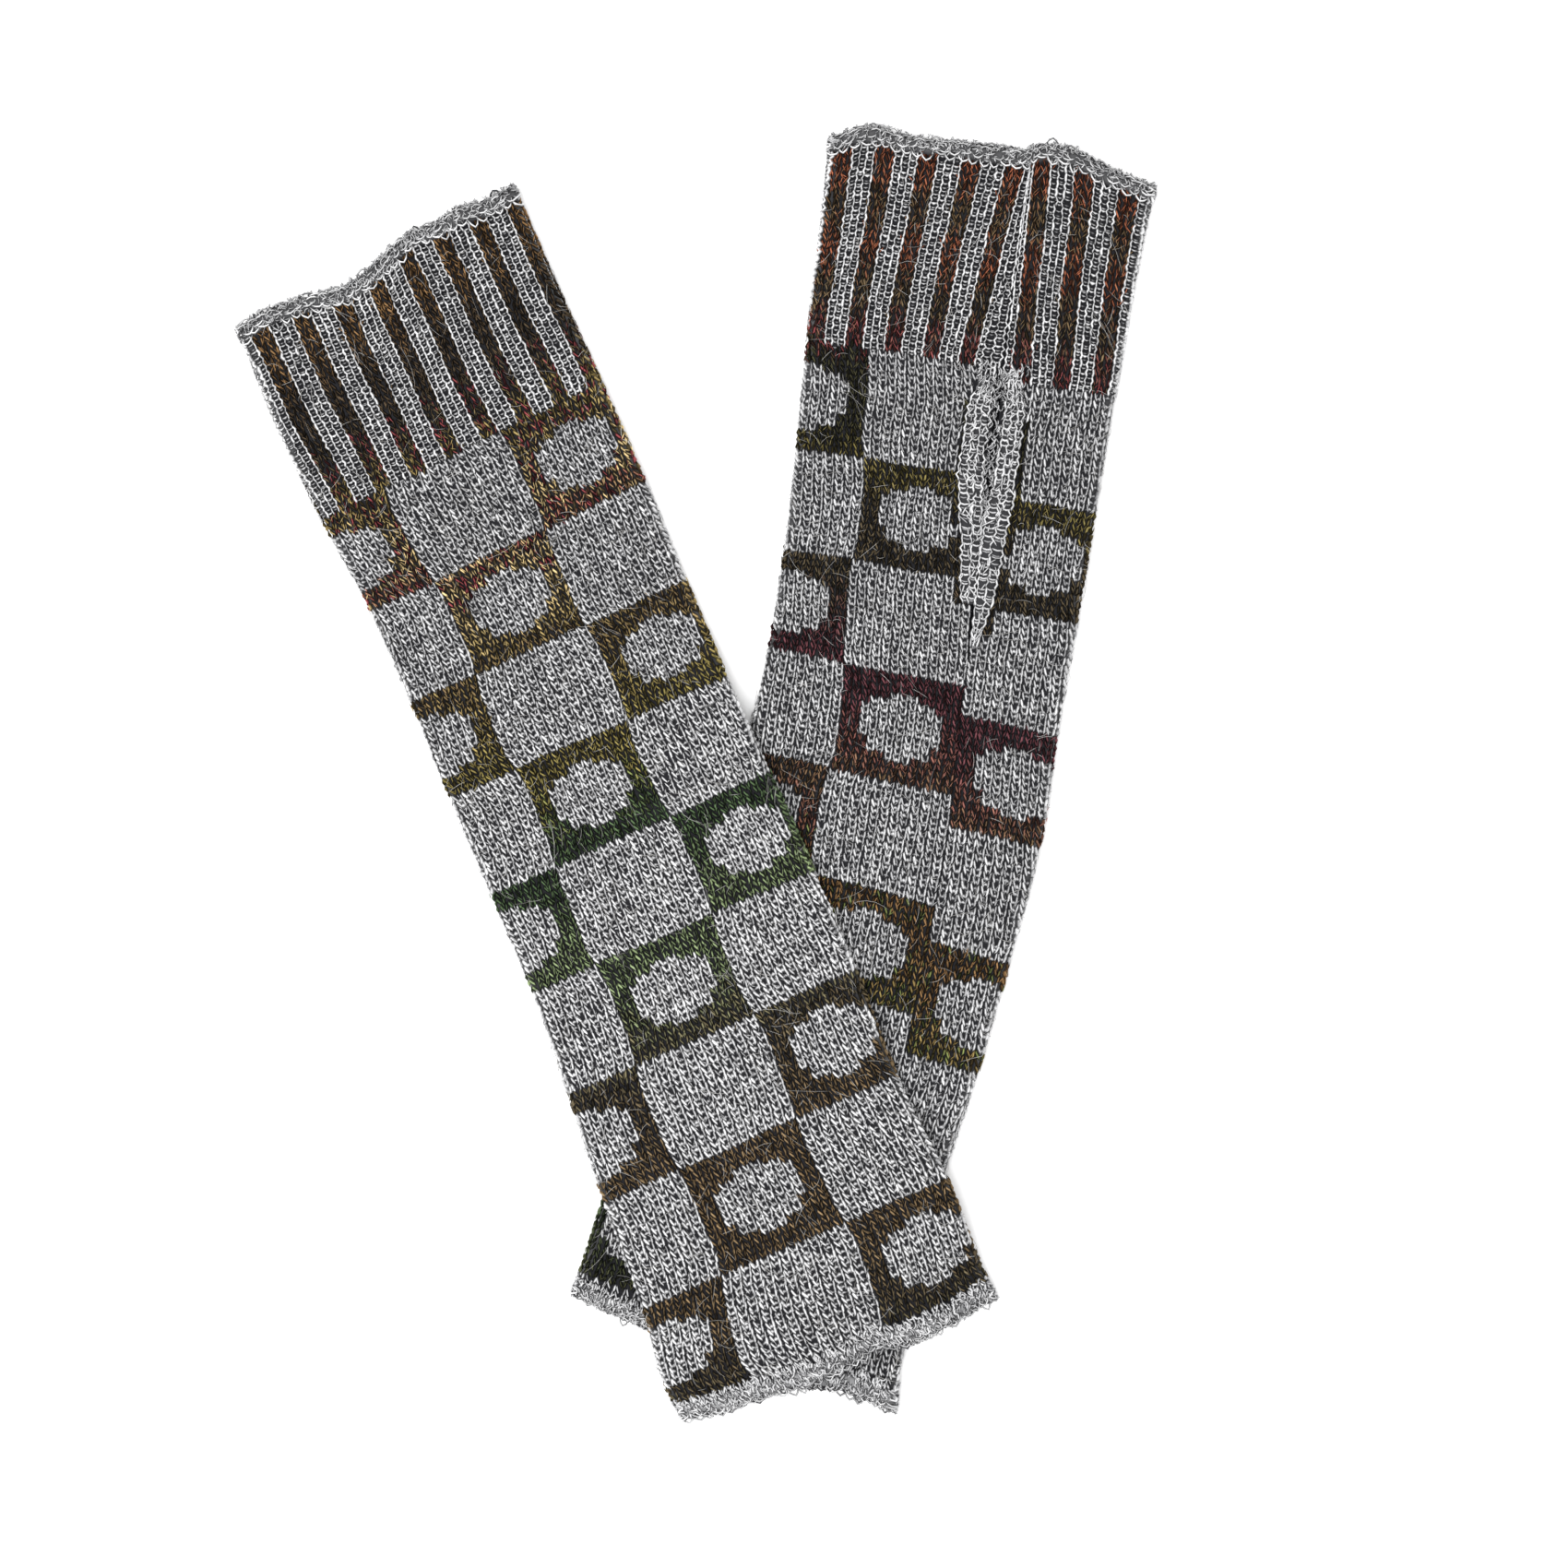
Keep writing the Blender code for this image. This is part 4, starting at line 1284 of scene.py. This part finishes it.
UPPER_DYES = ((0, "brown"), (12, "brown"), (20, "black_brown"), (32, "black_brown"), (42, "bark"),
              (50, "ochre"), (56, "ochre"), (66, "tan"), (75, "tan"), (78, "maroon"), (82, "tan"),
              (96, "tan"), (105, "ochre"), (110, "umber"), (120, "ochre"), (132, "olive"),
              (144, "olive"), (151, "moss"), (158, "forest"), (170, "forest"), (182, "sage"),
              (202, "sage"), (214, "grey_olive"), (224, "bark"), (250, "umber"), (284, "umber"),
              (300, "bark"), (312, "dark_olive"))
LOWER_DYES = ((0, "rust"), (7, "rust"), (11, "umber"), (18, "umber"), (23, "rust"), (28, "rust"),
              (33, "bark"), (40, "umber"), (45, "red_brown"), (50, "maroon"),
              (54, "dark_olive"), (74, "dark_olive"), (82, "olive"), (92, "bark"), (106, "bark"),
              (114, "bark"), (128, "plum"), (144, "plum"), (154, "red_brown"), (166, "umber"),
              (176, "red_brown"), (184, "brown"), (194, "brown"), (204, "brown"), (222, "olive"),
              (240, "umber"), (275, "forest"), (318, "dark_olive"))
UPPER_FLECKS = ("maroon", 36.0, 92.0, 0.24)     # dye, from and to in mm, share of the strands
LOWER_FLECKS = ("moss", 176.0, 226.0, 0.22)
DYE_LENGTH = 320.0
MARL = 0.03             # how far a strand's dye is moved, as a share of that length
DEEPEST_PAINTED_SHADE = 0.18          # how dark the painted shade on a dyed strand's sides gets, as a share of its dye
GAIN = 0.98


def dyed_yarn(dyes, flecks):
    """A colour maker for one warmer's dyed yarn, with a painted highlight at each strand's crest.
    """
    stops = [(place / DYE_LENGTH, DYES[name]) for place, name in dyes]
    fleck, first, last, share = flecks

    def colour_of(wire, fibre):
        chance, place = attribute(wire, "chance"), attribute(wire, "dye")
        moved = place * (1 / DYE_LENGTH) + (chance - 0.5) * MARL
        dye = wire.node("ShaderNodeValToRGB", {"stops": stops}, {0: moved})
        flecked = chance.above(1.0 - share) * place.above(first) * (1.0 - place.above(last))
        marled = flecked.mixed(dye, rgba(DYES[fleck]))
        crest = attribute(wire, "crest")
        # painted highlight towards each crest; the sides fall to painted shade, no darker than the
        # deepest share
        light = crest * (crest * 2.6 + (attribute(wire, "tone") - 0.5) * 5.0)
        light = (light + (fibre - 0.5) * 0.7 - 0.1) * GAIN
        return light.at_least(DEEPEST_PAINTED_SHADE).times(marled)

    return colour_of


upper_wool = wool("upper_dyed_wool", dyed_yarn(UPPER_DYES, UPPER_FLECKS))
lower_wool = wool("lower_dyed_wool", dyed_yarn(LOWER_DYES, LOWER_FLECKS))


# %% Ground cloth and hair finishes
def ground_painted_shade(wire, fibre):
    """Nearly black behind the stitches as painted shade, and grey behind the curled edges."""
    # nearly black: the painted shade of the holes
    deep = fibre.mixed(rgba((0.005, 0.005, 0.006)), rgba((0.022, 0.022, 0.025)))
    return attribute(wire, "tone").mixed(deep, rgba((0.30, 0.30, 0.305)))


def hair_colour(wire, fibre):
    return attribute(wire, "tone").mixed(rgba((0.10, 0.09, 0.08)), rgba((0.60, 0.59, 0.57)))


painted_shade_wool = wool("ground_cloth", ground_painted_shade, 0.95, 0.0, 0.6)
hair_wool = wool("mohair", hair_colour, 0.7, 0.1, 0.0)
print(len(DYES), "dyes and", len(bpy.data.materials), "materials")

# %% [markdown]
# ## Putting it together
#
# Each piece gets its finish and rides with the one body. The ground cloth stands for the four
# solids of its warmer, and the slit's ribs for the solids of its borders.


def dress(piece, material):
    """Its finish and its body."""
    piece.data.materials.clear()
    piece.data.materials.append(material)
    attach(piece, "root")


for stitches, dyed_wool in (((*lower_body, *lower_cuff), lower_wool),
                            ((*upper_body, *upper_cuff), upper_wool)):
    for piece in stitches:
        dress(piece, dyed_wool if "dyed" in piece.name else grey_wool)
for piece in (*lower_edges, *upper_edges, *borders, slit_loops):
    dress(piece, grey_wool)
for piece in (lower_ground, upper_ground, *border_grounds):
    dress(piece, painted_shade_wool)
for piece in (lower_hairs, upper_hairs):
    dress(piece, hair_wool)

for warmer, ground in ((lower, lower_ground), (upper, upper_ground)):
    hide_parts(*(f"{warmer.name}_{part}" for part in ("cuff_edge", "cuff", "body", "hem")))
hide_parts("lower_slit_border_a")
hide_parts("lower_slit_border_b")

# %% [markdown]
# ## Table and light
#
# The photograph is a cut-out on white: a white table, a very large soft light from above and a
# little to the left, and white all round.

# %% White table, soft light
bpy.context.scene.view_settings.view_transform = "Standard"
TABLE_HALF, TABLE_TOP = 3.0, -0.0004    # a hair below the wool
table_mesh = bpy.data.meshes.new("table")
signs = ((-1, -1), (1, -1), (1, 1), (-1, 1))
corners = [(x * TABLE_HALF, y * TABLE_HALF, TABLE_TOP) for x, y in signs]
table_mesh.from_pydata(corners, [], [(0, 1, 2, 3)])
table = add_object("table", table_mesh)
paper = bpy.data.materials.new("white_paper")
paper.use_nodes = True
paper_wire = Wire(paper.node_tree)
grain = paper_wire.node("ShaderNodeTexNoise", {}, {"Scale": 400.0})
paper_colour = grain.mixed(rgba((0.93, 0.93, 0.93)), rgba((0.95, 0.95, 0.95)))
paper_shader = paper.node_tree.nodes["Principled BSDF"]
paper.node_tree.links.new(paper_colour.socket, paper_shader.inputs["Base Color"])
paper_shader.inputs["Roughness"].default_value = 0.9
table_mesh.materials.append(paper)

light_data = bpy.data.lights.new("softbox", "AREA")
light_data.shape = "SQUARE"
light_data.size = 2.4
light_data.energy = 66.0
light = add_object("softbox", light_data)
light.location = (-0.7, -0.3, 2.0)
light.rotation_euler = (math.radians(8), math.radians(-19), 0.0)

world = bpy.data.worlds.new("studio")
world.use_nodes = True
world.node_tree.nodes["Background"].inputs["Color"].default_value = (1.0, 1.0, 1.0, 1.0)
world.node_tree.nodes["Background"].inputs["Strength"].default_value = 1.0
bpy.context.scene.world = world
print("light", light_data.energy, "W")
